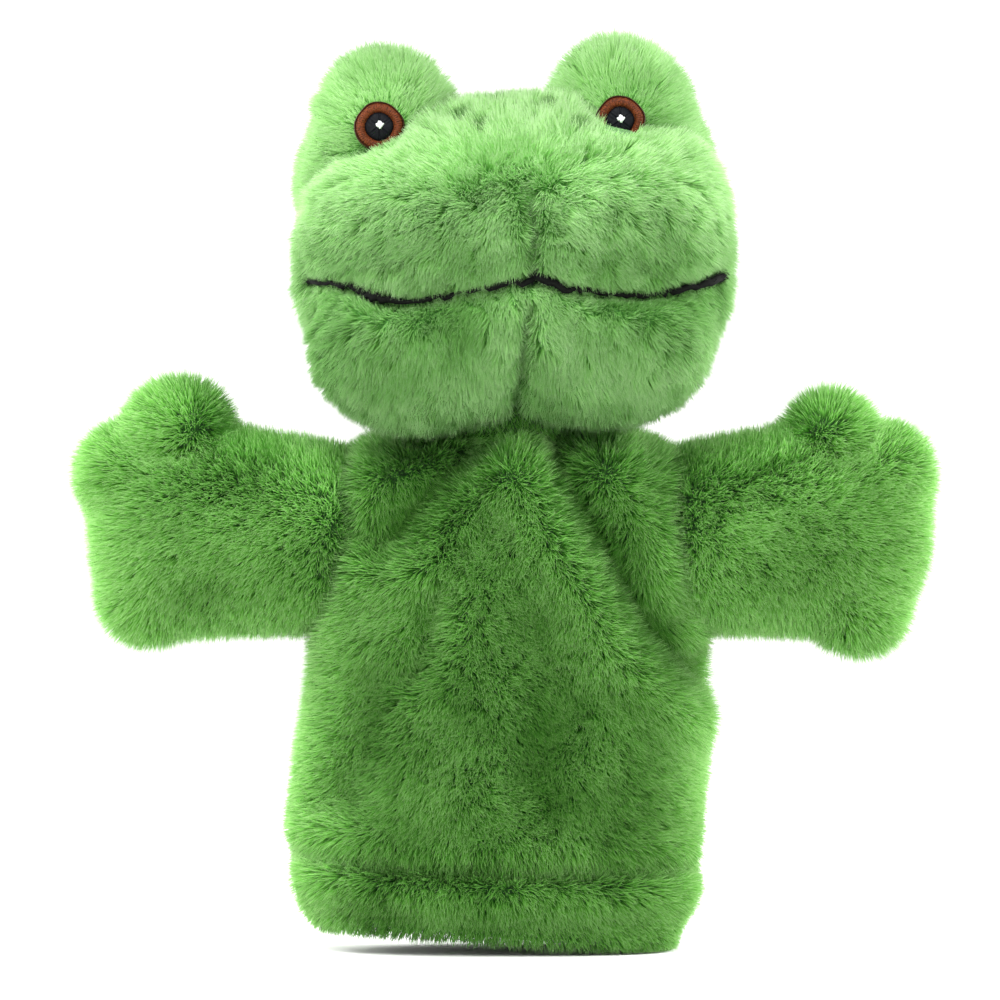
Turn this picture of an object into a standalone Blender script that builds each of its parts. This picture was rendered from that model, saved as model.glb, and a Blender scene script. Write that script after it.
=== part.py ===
"""Frog glove puppet in plush: a hand-sized sleeve, two finger arms and a stuffed head on a flexing neck.

All sizes below are in millimetres. The origin is the centre of the hand opening at the hem,
+Z runs up to the head, the face looks along -Y and +X is the puppet's left side.
"""

import itertools
import math

import bmesh
import bpy
import numpy as np

MM = 0.001
GAP = 0.3                     # clearance between neighbouring pieces
SOFT_GAP = 1.2                # clearance where a rounded piece lies along another
MERGE_DISTANCE = 1e-6         # metres
SMOOTH_BELOW = math.radians(50)
UPWARDS = np.array((0.0, 0.0, 1.0))
SIDEWAYS = np.array((1.0, 0.0, 0.0))
NEARLY_UPRIGHT = 0.9

# Sleeve cross-sections from hem to neck: height, half width, half depth, centre in Y, wall
SLEEVE_SECTIONS = (
    (0, 57, 30, 0, 6),
    (24, 58, 31, 0, 6),
    (62, 58, 33, 0, 6),
    (100, 56, 32, 0, 6),
    (120, 54, 31, 1, 6),
    (131, 49, 29, 2, 5),
    (138, 37, 26.5, 3, 4),
    (142.5, 27, 26, 3, 4),
    (145.5, 24.6, 24.6, 3, 3.5),
    (148.5, 25, 25, 3, 3.5),
)
SLEEVE_POWER = 2.3            # 2 is an ellipse, more is squarer
PANEL_STEPS = 14
LINING_WALL = 1.0
LINING_GAP = 0.8
LINING_STEPS = 14
LINING_BOTTOM = 1.5
HEM_STITCH_HEIGHT = 22.0
THREAD_RADIUS = 0.5
THREAD_SIDES = 4
HEM_STITCH_STEPS = 36

# Neck: spherical bands, one inside another, about the point where the head bends
NECK_PIVOT = (0.0, 3.0, 156.0)
GATHER_RING = (14.2, 16.8, -20, 20)      # inner radius, outer radius, lowest and highest latitude
COLLAR = (17.4, 20.8, -22, 22)
HEAD_BASE = (27.0, 30.8, -1, 61)
NECK_ROOM = 31.4                          # radius kept free inside the head round the neck
NECK_ROOM_STEPS = 28
BAND_STEPS = 20
BAND_ROWS = 3

# Finger stall: the blind tube in the head that a finger fills
STALL_RADIUS = 11.4
STALL_WALL = 1.2
STALL_BOTTOM = 150.0
STALL_TOP = 216.0
STALL_STEPS = 16

# Head
HEAD_CENTRE = (0.0, -7.0, 197.0)
HEAD_HALF_WIDTH = 63.0
HEAD_FRONT = 45.0
HEAD_BACK = 42.0
HEAD_UP = 41.5
HEAD_DOWN = 47.0
HEAD_POWER_TOP = 2.0
HEAD_POWER_BOTTOM = 3.2
HEAD_WALL = 5.0
MOUTH_LATITUDE = -8.0
MOUTH_WAVE = 2.2              # degrees the mouth line rises and dips along its W shape
MOUTH_END = 22.0              # degrees of longitude left clear at each mouth corner
MOUTH_RADIUS = 0.9
MOUTH_POINTS = 29
MOUTH_TICK = 3.5
LIP_DIMPLE = (6, 24)          # lowest and highest latitude of the crease's stitches
CHIN_DIMPLE = (-44, -20)
DIMPLE_POINTS = 6
HEAD_FRONT_ROWS = 8
HEAD_BACK_ROWS = 12
HEAD_STEPS = 16               # round each half of the head
STUFFING_STEPS = 32
STUFFING_ROWS = 12

# Eye mounds and embroidered eyes
MOUND_CENTRE = (36.5, 0.0, 232.0)
MOUND_SIZE = (19.5, 13.5, 27.0)
MOUND_WALL = 4.0
MOUND_LOWEST = -50
MOUND_ROWS = 7
MOUND_STEPS = 10
EYE_CENTRE = (36.5, 239.0)    # X and Z
EYE_PLANE = -13.9
EYE_DEPTH = 0.9
IRIS_RADIUS = 7.2
PUPIL_RADIUS = 4.3
HIGHLIGHT_RADIUS = 1.4
EYE_STEPS = 20
HIGHLIGHT_STEPS = 8

# Arms
LIFT_PIVOT = (56.0, 0.0, 118.0)
SWEEP_PIVOT = (78.0, 0.0, 118.0)
ARMHOLE_RADIUS = 28.5
ARMHOLE_HALF_DEPTH = 17.5
SHOULDER_RADIUS = 28.0
SHOULDER_HALF_HEIGHT = 25.0
SHOULDER_HALF_DEPTH = 16.5
SHOULDER_WALL = 4.5
SHOULDER_INNER_END = 50.0
SHOULDER_OUTER_END = 72.0
SHOULDER_FRONT_END = 64.0
SHOULDER_STEPS = 20
ARM_ROOM = 17.9               # radius kept free round the sweep axis
# Arm cross-sections from the shoulder to the paw's end: distance from the centre plane,
# lowest and highest point, half depth
ARM_SECTIONS = (
    (61.6, 102, 137, 4.5),
    (64, 98, 140, 9.5),
    (69, 95.5, 142, 14),
    (74, 95, 144, 16.3),
    (79, 93, 147, 17),
    (88, 91, 151, 17.5),
    (98, 90.5, 153, 17),
    (107, 91, 149, 15.5),
    (114, 96, 145, 12.5),
    (119, 104, 139, 8),
    (121, 112, 131, 4),
)
ARM_POWER = 2.2
ARM_STEPS = 18
# Finger room inside the arm: distance from the centre plane, lowest and highest point, half depth
ARM_ROOM_SECTIONS = (
    (58, 101, 137, 11),
    (70, 101, 137, 11),
    (84, 99, 139, 12),
    (98, 100, 140, 11),
    (106, 106, 134, 8),
)
ARM_ROOM_STEPS = 12
# Paw lobes: distance from the centre plane, height, half width, half depth, half height
PAW_LOBES = (
    (94.5, 151.0, 11.0, 10.5, 11.5),
    (109.0, 140.5, 13.0, 11.0, 12.5),
    (103.0, 98.0, 12.0, 11.0, 11.5),
)
LOBE_STEPS = 14
LOBE_ROWS = 7
CUTTER_REACH = 200.0


def clear_scene():
    for obj in list(bpy.data.objects):
        bpy.data.objects.remove(obj, do_unlink=True)


def make_material(name, colour, roughness):
    material = bpy.data.materials.new(name)
    material.use_nodes = True
    shader = material.node_tree.nodes["Principled BSDF"]
    shader.inputs["Base Color"].default_value = (*colour, 1)
    shader.inputs["Roughness"].default_value = roughness
    shader.inputs["Metallic"].default_value = 0
    material.diffuse_color = (*colour, 1)
    return material


def make_materials():
    return {
        "body_plush": make_material("body_plush", (0.06, 0.22, 0.035), 0.95),
        "head_plush": make_material("head_plush", (0.19, 0.50, 0.10), 0.95),
        "lining": make_material("lining", (0.05, 0.16, 0.03), 0.7),
        "stuffing": make_material("stuffing", (0.80, 0.80, 0.76), 1.0),
        "mouth_thread": make_material("mouth_thread", (0.012, 0.014, 0.012), 0.6),
        "seam_thread": make_material("seam_thread", (0.05, 0.20, 0.04), 0.6),
        "iris_thread": make_material("iris_thread", (0.20, 0.06, 0.02), 0.4),
        "pupil_thread": make_material("pupil_thread", (0.006, 0.008, 0.014), 0.35),
        "highlight_thread": make_material("highlight_thread", (0.85, 0.85, 0.82), 0.4),
    }


def make_pivot(name, place, parent=None):
    """An empty on a joint's axis. Pieces that move with the joint are parented to it."""
    pivot = bpy.data.objects.new(name, None)
    pivot.empty_display_size = 10 * MM
    bpy.context.scene.collection.objects.link(pivot)
    parent_place = parent["place"] if parent else (0, 0, 0)
    pivot.location = [MM * (a - b) for a, b in zip(place, parent_place)]
    if parent:
        pivot.parent = parent["object"]
    return {"object": pivot, "place": place}


def make_object(name, points, faces, material=None, pivot=None):
    """A closed mesh from points in millimetres, with its origin at the pivot it turns about."""
    origin = np.array(pivot["place"] if pivot else (0.0, 0.0, 0.0))
    mesh = bpy.data.meshes.new(name)
    mesh.from_pydata(((np.asarray(points) - origin) * MM).tolist(), [], faces)
    work = bmesh.new()
    work.from_mesh(mesh)
    bmesh.ops.remove_doubles(work, verts=work.verts, dist=MERGE_DISTANCE)
    bmesh.ops.dissolve_degenerate(work, edges=work.edges, dist=MERGE_DISTANCE)
    bmesh.ops.recalc_face_normals(work, faces=work.faces)
    work.to_mesh(mesh)
    work.free()
    mesh.shade_smooth()
    mesh.set_sharp_from_angle(angle=SMOOTH_BELOW)
    obj = bpy.data.objects.new(name, mesh)
    bpy.context.scene.collection.objects.link(obj)
    if material:
        mesh.materials.append(material)
    if pivot:
        obj.parent = pivot["object"]
    return obj


def make_cutter(name, points, faces):
    cutter = make_object(name, points, faces)
    cutter.hide_render = True
    cutter.display_type = "WIRE"
    return cutter


def cut(obj, cutter, operation="DIFFERENCE"):
    modifier = obj.modifiers.new(f"{operation.lower()} {cutter.name}", "BOOLEAN")
    modifier.operation = operation
    modifier.solver = "EXACT"
    modifier.object = cutter


def grid_faces(rows, columns, start=0, closed=False):
    faces = []
    for row in range(rows - 1):
        for column in range(columns if closed else columns - 1):
            after = (column + 1) % columns
            low = start + row * columns
            faces.append((low + column, low + after, low + columns + after, low + columns + column))
    return faces


def shell(outer, inner, closed=False):
    """The points and faces of a wall between two grids of points, closed along its edges."""
    rows, columns = outer.shape[:2]
    count = rows * columns
    points = np.concatenate([outer.reshape(-1, 3), inner.reshape(-1, 3)])
    faces = grid_faces(rows, columns, 0, closed)
    faces += [face[::-1] for face in grid_faces(rows, columns, count, closed)]
    for column in range(columns if closed else columns - 1):
        after = (column + 1) % columns
        for low in (0, (rows - 1) * columns):
            faces.append((low + column, low + after, count + low + after, count + low + column))
    if not closed:
        for row in range(rows - 1):
            for column in (0, columns - 1):
                low = row * columns + column
                faces.append((low, low + columns, count + low + columns, count + low))
    return points, faces


def loft(rings):
    """The points and faces of a solid through closed rings, with a flat cap on each end."""
    rows, columns = rings.shape[:2]
    faces = grid_faces(rows, columns, 0, True)
    faces.append(tuple(range(columns))[::-1])
    faces.append(tuple(range((rows - 1) * columns, rows * columns)))
    return rings.reshape(-1, 3), faces


def superellipse(half_first, half_second, power, angle):
    first = math.copysign(abs(math.cos(angle)) ** (2 / power), math.cos(angle)) * half_first
    second = math.copysign(abs(math.sin(angle)) ** (2 / power), math.sin(angle)) * half_second
    return first, second


def turned(centre, radii, heights, steps):
    """Rings of a turned solid about a vertical line."""
    rings = []
    for radius, height in zip(radii, heights):
        angles = np.linspace(0, 2 * math.pi, steps, endpoint=False)
        ring = [
            (centre[0] + radius * math.cos(a), centre[1] + radius * math.sin(a), height)
            for a in angles
        ]
        rings.append(ring)
    return np.array(rings)


def on_sphere(centre, radius, longitude, latitude):
    return (
        centre[0] + radius * math.cos(latitude) * math.cos(longitude),
        centre[1] + radius * math.cos(latitude) * math.sin(longitude),
        centre[2] + radius * math.sin(latitude),
    )


def ellipsoid(centre, size, steps, rows):
    rings = []
    for latitude in np.linspace(-math.pi / 2, math.pi / 2, rows + 1):
        ring = []
        for longitude in np.linspace(0, 2 * math.pi, steps, endpoint=False):
            unit = on_sphere((0, 0, 0), 1, longitude, latitude)
            ring.append([c + s * u for c, s, u in zip(centre, size, unit)])
        rings.append(ring)
    rows_of_points = np.array(rings)
    faces = grid_faces(rows + 1, steps, 0, True)
    return rows_of_points.reshape(-1, 3), faces


def box(low, high):
    corners = list(itertools.product(*zip(low, high)))
    faces = [(0, 1, 3, 2), (4, 6, 7, 5), (0, 4, 5, 1), (2, 3, 7, 6), (0, 2, 6, 4), (1, 5, 7, 3)]
    return corners, faces


def cylinder_along_y(centre, radius, half_length, steps):
    rings = []
    for side in (-half_length, half_length):
        angles = np.linspace(0, 2 * math.pi, steps, endpoint=False)
        ring = [
            (centre[0] + radius * math.cos(a), side, centre[2] + radius * math.sin(a))
            for a in angles
        ]
        rings.append(ring)
    return loft(np.array(rings))


def thread(path, radius, sides, closed=False):
    """The points and faces of a round thread along a path."""
    path = np.asarray(path, float)
    following = np.roll(path, -1, axis=0)
    before = np.roll(path, 1, axis=0)
    if not closed:
        following[-1] = path[-1]
        before[0] = path[0]
    rings = []
    for point, ahead in zip(path, following - before):
        ahead = ahead / np.linalg.norm(ahead)
        reference = UPWARDS if abs(ahead[2]) < NEARLY_UPRIGHT else SIDEWAYS
        across = np.cross(ahead, reference)
        across = across / np.linalg.norm(across)
        up = np.cross(across, ahead)
        angles = np.linspace(0, 2 * math.pi, sides, endpoint=False)
        rings.append([point + radius * (math.cos(a) * across + math.sin(a) * up) for a in angles])
    rings = np.array(rings)
    if not closed:
        return loft(rings)
    rows, columns = rings.shape[:2]
    points = np.concatenate([rings.reshape(-1, 3), rings[0]])
    return points, grid_faces(rows + 1, columns, 0, True)


# ---- Sleeve ---------------------------------------------------------------------------------


def sleeve_row(section, inset, angles):
    height, half_width, half_depth, centre_y, _ = section
    row = []
    for angle in angles:
        x, y = superellipse(half_width - inset, half_depth - inset, SLEEVE_POWER, angle)
        row.append((x, centre_y + y, height))
    return row


def half_sleeve(name, front, outer_inset, wall, sections, steps, material):
    """One panel of the sleeve, from side seam to side seam."""
    side = -1 if front else 1
    angles = np.linspace(0, side * math.pi, steps + 1)
    outer = []
    inner = []
    for section in sections:
        inset = outer_inset(section)
        outer.append(sleeve_row(section, inset, angles))
        inner.append(sleeve_row(section, inset + wall(section), angles))
    shift = np.array((0, side * GAP / 2, 0))
    points, faces = shell(np.array(outer) + shift, np.array(inner) + shift)
    return make_object(name, points, faces, material)


def make_armhole_cutters():
    cutters = []
    for side, name in ((1, "left_armhole_cutter"), (-1, "right_armhole_cutter")):
        centre = (side * LIFT_PIVOT[0], 0, LIFT_PIVOT[2])
        points, faces = cylinder_along_y(centre, ARMHOLE_RADIUS, ARMHOLE_HALF_DEPTH, SHOULDER_STEPS)
        cutters.append(make_cutter(name, points, faces))
    return cutters


def make_sleeve(materials):
    cutters = make_armhole_cutters()
    lining_sections = [(LINING_BOTTOM, *SLEEVE_SECTIONS[0][1:]), *SLEEVE_SECTIONS[1:-2]]
    for front, name in ((True, "front"), (False, "back")):
        panel = half_sleeve(
            f"body_{name}_panel", front, lambda section: 0, lambda section: section[4],
            SLEEVE_SECTIONS, PANEL_STEPS, materials["body_plush"],
        )
        lining = half_sleeve(
            f"{name}_lining", front, lambda section: section[4] + LINING_GAP, lambda section: LINING_WALL,
            lining_sections, LINING_STEPS, materials["lining"],
        )
        for piece in (panel, lining):
            for cutter in cutters:
                cut(piece, cutter)


def make_hem_stitching(materials):
    low, high = SLEEVE_SECTIONS[:2]
    share = (HEM_STITCH_HEIGHT - low[0]) / (high[0] - low[0])
    section = [a + share * (b - a) for a, b in zip(low, high)]
    angles = np.linspace(0, 2 * math.pi, HEM_STITCH_STEPS, endpoint=False)
    row = sleeve_row(section, -THREAD_RADIUS - 2 * GAP, angles)
    points, faces = thread(row, THREAD_RADIUS, THREAD_SIDES, closed=True)
    make_object("hem_stitching", points, faces, materials["seam_thread"])


# ---- Neck -----------------------------------------------------------------------------------


def spherical_band(name, band, material, pivot, rows=BAND_ROWS):
    inner_radius, outer_radius, lowest, highest = band
    latitudes = np.radians(np.linspace(lowest, highest, rows + 1))
    longitudes = np.linspace(0, 2 * math.pi, BAND_STEPS, endpoint=False)
    outer = [[on_sphere(NECK_PIVOT, outer_radius, a, b) for a in longitudes] for b in latitudes]
    inner = [[on_sphere(NECK_PIVOT, inner_radius, a, b) for a in longitudes] for b in latitudes]
    points, faces = shell(np.array(outer), np.array(inner), closed=True)
    return make_object(name, points, faces, material, pivot)


def make_finger_stall(material, pivot):
    inner_radius = STALL_RADIUS - STALL_WALL
    inside_top = STALL_TOP - STALL_WALL
    radii = (inner_radius, STALL_RADIUS, STALL_RADIUS, 0, 0, inner_radius, inner_radius)
    heights = (
        STALL_BOTTOM, STALL_BOTTOM, STALL_TOP, STALL_TOP, inside_top, inside_top, STALL_BOTTOM,
    )
    rings = turned(NECK_PIVOT, radii, heights, STALL_STEPS)
    faces = grid_faces(len(rings), STALL_STEPS, 0, True)
    make_object("finger_stall", rings.reshape(-1, 3), faces, material, pivot)


# ---- Head -----------------------------------------------------------------------------------


def head_point(longitude, latitude, offset=0.0):
    """A point of the head's outer surface, moved outwards by offset."""
    direction = on_sphere((0, 0, 0), 1, longitude, latitude)
    half_depth = HEAD_FRONT if direction[1] < 0 else HEAD_BACK
    half_height = HEAD_UP if direction[2] > 0 else HEAD_DOWN
    share = min(1, max(0, 0.5 - 2 * direction[2]))
    share = share * share * (3 - 2 * share)
    power = HEAD_POWER_TOP + share * (HEAD_POWER_BOTTOM - HEAD_POWER_TOP)
    halves = (HEAD_HALF_WIDTH, half_depth, half_height)
    total = sum((abs(d) / half) ** power for d, half in zip(direction, halves))
    radius = total ** (-1 / power) + offset
    return [centre + radius * d for centre, d in zip(HEAD_CENTRE, direction)]


def mouth_latitude(longitude):
    return math.radians(MOUTH_LATITUDE + MOUTH_WAVE * math.cos(4 * (longitude + math.pi / 2)))


def head_panel(name, longitudes, lowest, highest, rows, shift, material, pivot, cutter=None):
    """A panel of the head between two longitudes in degrees and two latitudes, each a function."""
    outer = []
    inner = []
    start, end = longitudes
    steps = round(HEAD_STEPS * abs(end - start) / 180)
    longitudes = np.radians(np.linspace(start, end, steps + 1))
    for share in np.linspace(0, 1, rows + 1):
        latitudes = [lowest(a) + share * (highest(a) - lowest(a)) for a in longitudes]
        outer.append([head_point(a, b) for a, b in zip(longitudes, latitudes)])
        inner.append([head_point(a, b, -HEAD_WALL) for a, b in zip(longitudes, latitudes)])
    offset = np.array(shift) * GAP / 2
    points, faces = shell(np.array(outer) + offset, np.array(inner) + offset)
    panel = make_object(name, points, faces, material, pivot)
    if cutter:
        cut(panel, cutter)


def pole(sign):
    return lambda longitude: sign * math.pi / 2


def make_head_panels(materials, pivot, neck_cutter):
    plush = materials["head_plush"]
    top = pole(1)
    bottom = pole(-1)
    head_panel(
        "upper_face_panel", (-180, 0), mouth_latitude, top, HEAD_FRONT_ROWS, (0, -1, 1), plush, pivot
    )
    halves = ((1, "left", (-90, 0), (0, 90)), (-1, "right", (-180, -90), (90, 180)))
    for side, name, front, back in halves:
        head_panel(
            f"{name}_chin_panel", front, bottom, mouth_latitude, HEAD_FRONT_ROWS,
            (side, -1, -1), plush, pivot, neck_cutter,
        )
        head_panel(
            f"{name}_head_back_panel", back, bottom, top, HEAD_BACK_ROWS,
            (side, 1, 0), plush, pivot, neck_cutter,
        )


def head_form(offset, steps, rows):
    latitudes = np.linspace(-math.pi / 2, math.pi / 2, rows + 1)
    longitudes = np.linspace(0, 2 * math.pi, steps, endpoint=False)
    rings = [[head_point(a, b, offset) for a in longitudes] for b in latitudes]
    return np.array(rings).reshape(-1, 3), grid_faces(rows + 1, steps, 0, True)


def make_head_stuffing(materials, pivot, neck_cutter):
    points, faces = head_form(-HEAD_WALL - SOFT_GAP, STUFFING_STEPS, STUFFING_ROWS)
    stuffing = make_object("head_stuffing", points, faces, materials["stuffing"], pivot)
    cut(stuffing, neck_cutter)
    room = STALL_RADIUS + 2 * GAP
    rings = turned(NECK_PIVOT, (room, room), (NECK_PIVOT[2], STALL_TOP + 2 * GAP), STALL_STEPS)
    points, faces = loft(rings)
    cut(stuffing, make_cutter("stall_cutter", points, faces))


def make_mouth_line(materials, pivot):
    """The black mouth line, laid on the seam of the lips, with a short tick at each corner."""
    offset = MOUTH_RADIUS + 2 * GAP
    longitudes = np.radians(np.linspace(-180 + MOUTH_END, -MOUTH_END, MOUTH_POINTS))
    path = [head_point(a, mouth_latitude(a), offset) for a in longitudes]
    for end in (0, -1):
        longitude = longitudes[end]
        tick = head_point(longitude, mouth_latitude(longitude) + MOUTH_TICK / HEAD_HALF_WIDTH, offset)
        path.insert(0 if end == 0 else len(path), tick)
    points, faces = thread(path, MOUTH_RADIUS, THREAD_SIDES + 1)
    make_object("mouth_line", points, faces, materials["mouth_thread"], pivot)


def make_dimple_stitches(materials, pivot):
    """Short threads that pull in the crease of the upper lip and that of the chin."""
    front = math.radians(-90)
    for name, ends in (("lip_dimple_stitch", LIP_DIMPLE), ("chin_dimple_stitch", CHIN_DIMPLE)):
        latitudes = np.radians(np.linspace(*ends, DIMPLE_POINTS))
        path = [head_point(front, b, THREAD_RADIUS + 2 * GAP) for b in latitudes]
        points, faces = thread(path, THREAD_RADIUS, THREAD_SIDES)
        make_object(name, points, faces, materials["seam_thread"], pivot)


# ---- Eye mounds and eyes --------------------------------------------------------------------


def mound_panel(name, side, front, head_cutter, material, pivot):
    facing = -1 if front else 1
    centre = (side * MOUND_CENTRE[0], MOUND_CENTRE[1] + facing * GAP / 2, MOUND_CENTRE[2])
    layers = []
    for inset in (0, MOUND_WALL):
        layer = []
        for latitude in np.radians(np.linspace(MOUND_LOWEST, 90, MOUND_ROWS + 1)):
            row = []
            for longitude in np.linspace(0, facing * math.pi, MOUND_STEPS + 1):
                unit = on_sphere((0, 0, 0), 1, longitude, latitude)
                row.append([c + (s - inset) * u for c, s, u in zip(centre, MOUND_SIZE, unit)])
            layer.append(row)
        layers.append(np.array(layer))
    points, faces = shell(*layers)
    cut(make_object(name, points, faces, material, pivot), head_cutter)


def make_eye_mounds(materials, pivot):
    points, faces = head_form(SOFT_GAP, STUFFING_STEPS, HEAD_FRONT_ROWS * 2)
    head_cutter = make_cutter("head_cutter", points, faces)
    inset = MOUND_WALL + SOFT_GAP
    for side, name in ((1, "left"), (-1, "right")):
        mound_panel(f"{name}_eye_mound_front", side, True, head_cutter, materials["head_plush"], pivot)
        mound_panel(f"{name}_eye_mound_back", side, False, head_cutter, materials["head_plush"], pivot)
        centre = (side * MOUND_CENTRE[0], *MOUND_CENTRE[1:])
        size = [s - inset for s in MOUND_SIZE]
        points, faces = ellipsoid(centre, size, LOBE_STEPS, LOBE_ROWS)
        stuffing = make_object(
            f"{name}_eye_mound_stuffing", points, faces, materials["stuffing"], pivot
        )
        cut(stuffing, head_cutter)


def eye_disc(name, side, radius, hole_radius, nearest, steps, material, pivot):
    """A flat round patch that faces -Y, with a round hole if hole_radius isn't 0."""
    farthest = nearest + EYE_DEPTH
    angles = np.linspace(0, 2 * math.pi, steps, endpoint=False)

    def ring(at, y):
        return [
            (side * EYE_CENTRE[0] + at * math.cos(a), y, EYE_CENTRE[1] + at * math.sin(a))
            for a in angles
        ]

    if hole_radius:
        outer = np.array([ring(radius, nearest), ring(radius, farthest)])
        inner = np.array([ring(hole_radius, nearest), ring(hole_radius, farthest)])
        points, faces = shell(outer, inner, closed=True)
    else:
        points, faces = loft(np.array([ring(radius, nearest), ring(radius, farthest)]))
    make_object(name, points, faces, material, pivot)


def make_eyes(materials, pivot):
    nearest = EYE_PLANE - EYE_DEPTH
    for side, name in ((1, "left"), (-1, "right")):
        eye_disc(
            f"{name}_iris", side, IRIS_RADIUS, PUPIL_RADIUS + GAP, nearest, EYE_STEPS,
            materials["iris_thread"], pivot,
        )
        eye_disc(
            f"{name}_pupil", side, PUPIL_RADIUS, 0, nearest, EYE_STEPS,
            materials["pupil_thread"], pivot,
        )
        eye_disc(
            f"{name}_eye_highlight", side, HIGHLIGHT_RADIUS, 0, nearest - EYE_DEPTH - GAP,
            HIGHLIGHT_STEPS, materials["highlight_thread"], pivot,
        )


# ---- Arms -----------------------------------------------------------------------------------


def arm_rings(sections, side, steps):
    rings = []
    for x, low, high, half_depth in sections:
        ring = []
        for angle in np.linspace(0, 2 * math.pi, steps, endpoint=False):
            y, z = superellipse(half_depth, (high - low) / 2, ARM_POWER, angle)
            ring.append((side * x, y, (low + high) / 2 + z))
        rings.append(ring)
    return np.array(rings)


def make_shoulder(side, name, material, pivot):
    """The short tube next to the armhole, which lifts with the arm but doesn't sweep with it."""
    ends = (SHOULDER_INNER_END, SHOULDER_OUTER_END)
    layers = []
    for inset in (0, SHOULDER_WALL):
        low = LIFT_PIVOT[2] - SHOULDER_HALF_HEIGHT + inset
        high = LIFT_PIVOT[2] + SHOULDER_HALF_HEIGHT - inset
        sections = [(x, low, high, SHOULDER_HALF_DEPTH - inset) for x in ends]
        layers.append(arm_rings(sections, side, SHOULDER_STEPS))
    points, faces = shell(*layers, closed=True)
    shoulder = make_object(f"{name}_shoulder_panel", points, faces, material, pivot)

    centre = (side * LIFT_PIVOT[0], 0, LIFT_PIVOT[2])
    points, faces = cylinder_along_y(centre, SHOULDER_RADIUS, SHOULDER_HALF_DEPTH * 2, 2 * SHOULDER_STEPS)
    cut(shoulder, make_cutter(f"{name}_lift_cutter", points, faces), "INTERSECT")

    axis = (side * SWEEP_PIVOT[0], 0, 0)
    rings = turned(axis, (ARM_ROOM, ARM_ROOM), (0, CUTTER_REACH), 2 * SHOULDER_STEPS)
    points, faces = loft(rings)
    cut(shoulder, make_cutter(f"{name}_sweep_cutter", points, faces))

    near, far = sorted((side * SHOULDER_FRONT_END, side * CUTTER_REACH))
    points, faces = box((near, -CUTTER_REACH, 0), (far, 0, CUTTER_REACH))
    cut(shoulder, make_cutter(f"{name}_front_sweep_cutter", points, faces))


def make_arm(side, name, material, pivot):
    """The plush arm in two panels, hollow for a finger, with three paw lobes."""
    lobes = []
    for number, (x, z, *size) in enumerate(PAW_LOBES, 1):
        points, faces = ellipsoid((side * x, 0, z), size, LOBE_STEPS, LOBE_ROWS)
        lobes.append(make_cutter(f"{name}_paw_lobe_{number}", points, faces))
    points, faces = loft(arm_rings(ARM_ROOM_SECTIONS, side, ARM_ROOM_STEPS))
    room = make_cutter(f"{name}_finger_room", points, faces)
    for facing, part in ((-1, "front"), (1, "back")):
        points, faces = loft(arm_rings(ARM_SECTIONS, side, ARM_STEPS))
        panel = make_object(f"{name}_arm_{part}_panel", points, faces, material, pivot)
        for lobe in lobes:
            cut(panel, lobe, "UNION")
        cut(panel, room)
        near, far = sorted((facing * GAP / 2, facing * CUTTER_REACH))
        points, faces = box((-CUTTER_REACH, near, 0), (CUTTER_REACH, far, CUTTER_REACH))
        cut(panel, make_cutter(f"{name}_arm_{part}_keeper", points, faces), "INTERSECT")


def make_arms(materials):
    for side, name in ((1, "left"), (-1, "right")):
        lift = make_pivot(f"{name}_arm_lift_pivot", (side * LIFT_PIVOT[0], *LIFT_PIVOT[1:]))
        sweep_place = (side * SWEEP_PIVOT[0], *SWEEP_PIVOT[1:])
        sweep = make_pivot(f"{name}_arm_sweep_pivot", sweep_place, lift)
        make_shoulder(side, name, materials["body_plush"], lift)
        make_arm(side, name, materials["body_plush"], sweep)


def make_head(materials):
    turn = make_pivot("head_turn_pivot", NECK_PIVOT)
    tilt = make_pivot("head_tilt_pivot", NECK_PIVOT, turn)
    nod = make_pivot("head_nod_pivot", NECK_PIVOT, tilt)
    spherical_band("neck_collar", COLLAR, materials["body_plush"], turn)
    spherical_band("neck_gather_ring", GATHER_RING, materials["seam_thread"], tilt)
    base = spherical_band("head_base_panel", HEAD_BASE, materials["head_plush"], nod, 2 * BAND_ROWS)
    points, faces = head_form(0, STUFFING_STEPS, STUFFING_ROWS)
    cut(base, make_cutter("head_base_cutter", points, faces), "INTERSECT")
    make_finger_stall(materials["lining"], nod)
    points, faces = ellipsoid(NECK_PIVOT, (NECK_ROOM,) * 3, NECK_ROOM_STEPS, NECK_ROOM_STEPS // 2)
    neck_cutter = make_cutter("neck_cutter", points, faces)
    make_head_panels(materials, nod, neck_cutter)
    make_head_stuffing(materials, nod, neck_cutter)
    make_mouth_line(materials, nod)
    make_dimple_stitches(materials, nod)
    make_eye_mounds(materials, nod)
    make_eyes(materials, nod)


def main():
    clear_scene()
    materials = make_materials()
    make_sleeve(materials)
    make_hem_stitching(materials)
    make_arms(materials)
    make_head(materials)


main()
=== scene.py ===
import functools
import math

import bmesh
import bpy
import numpy as np
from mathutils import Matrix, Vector
from mathutils.bvhtree import BVHTree


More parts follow.
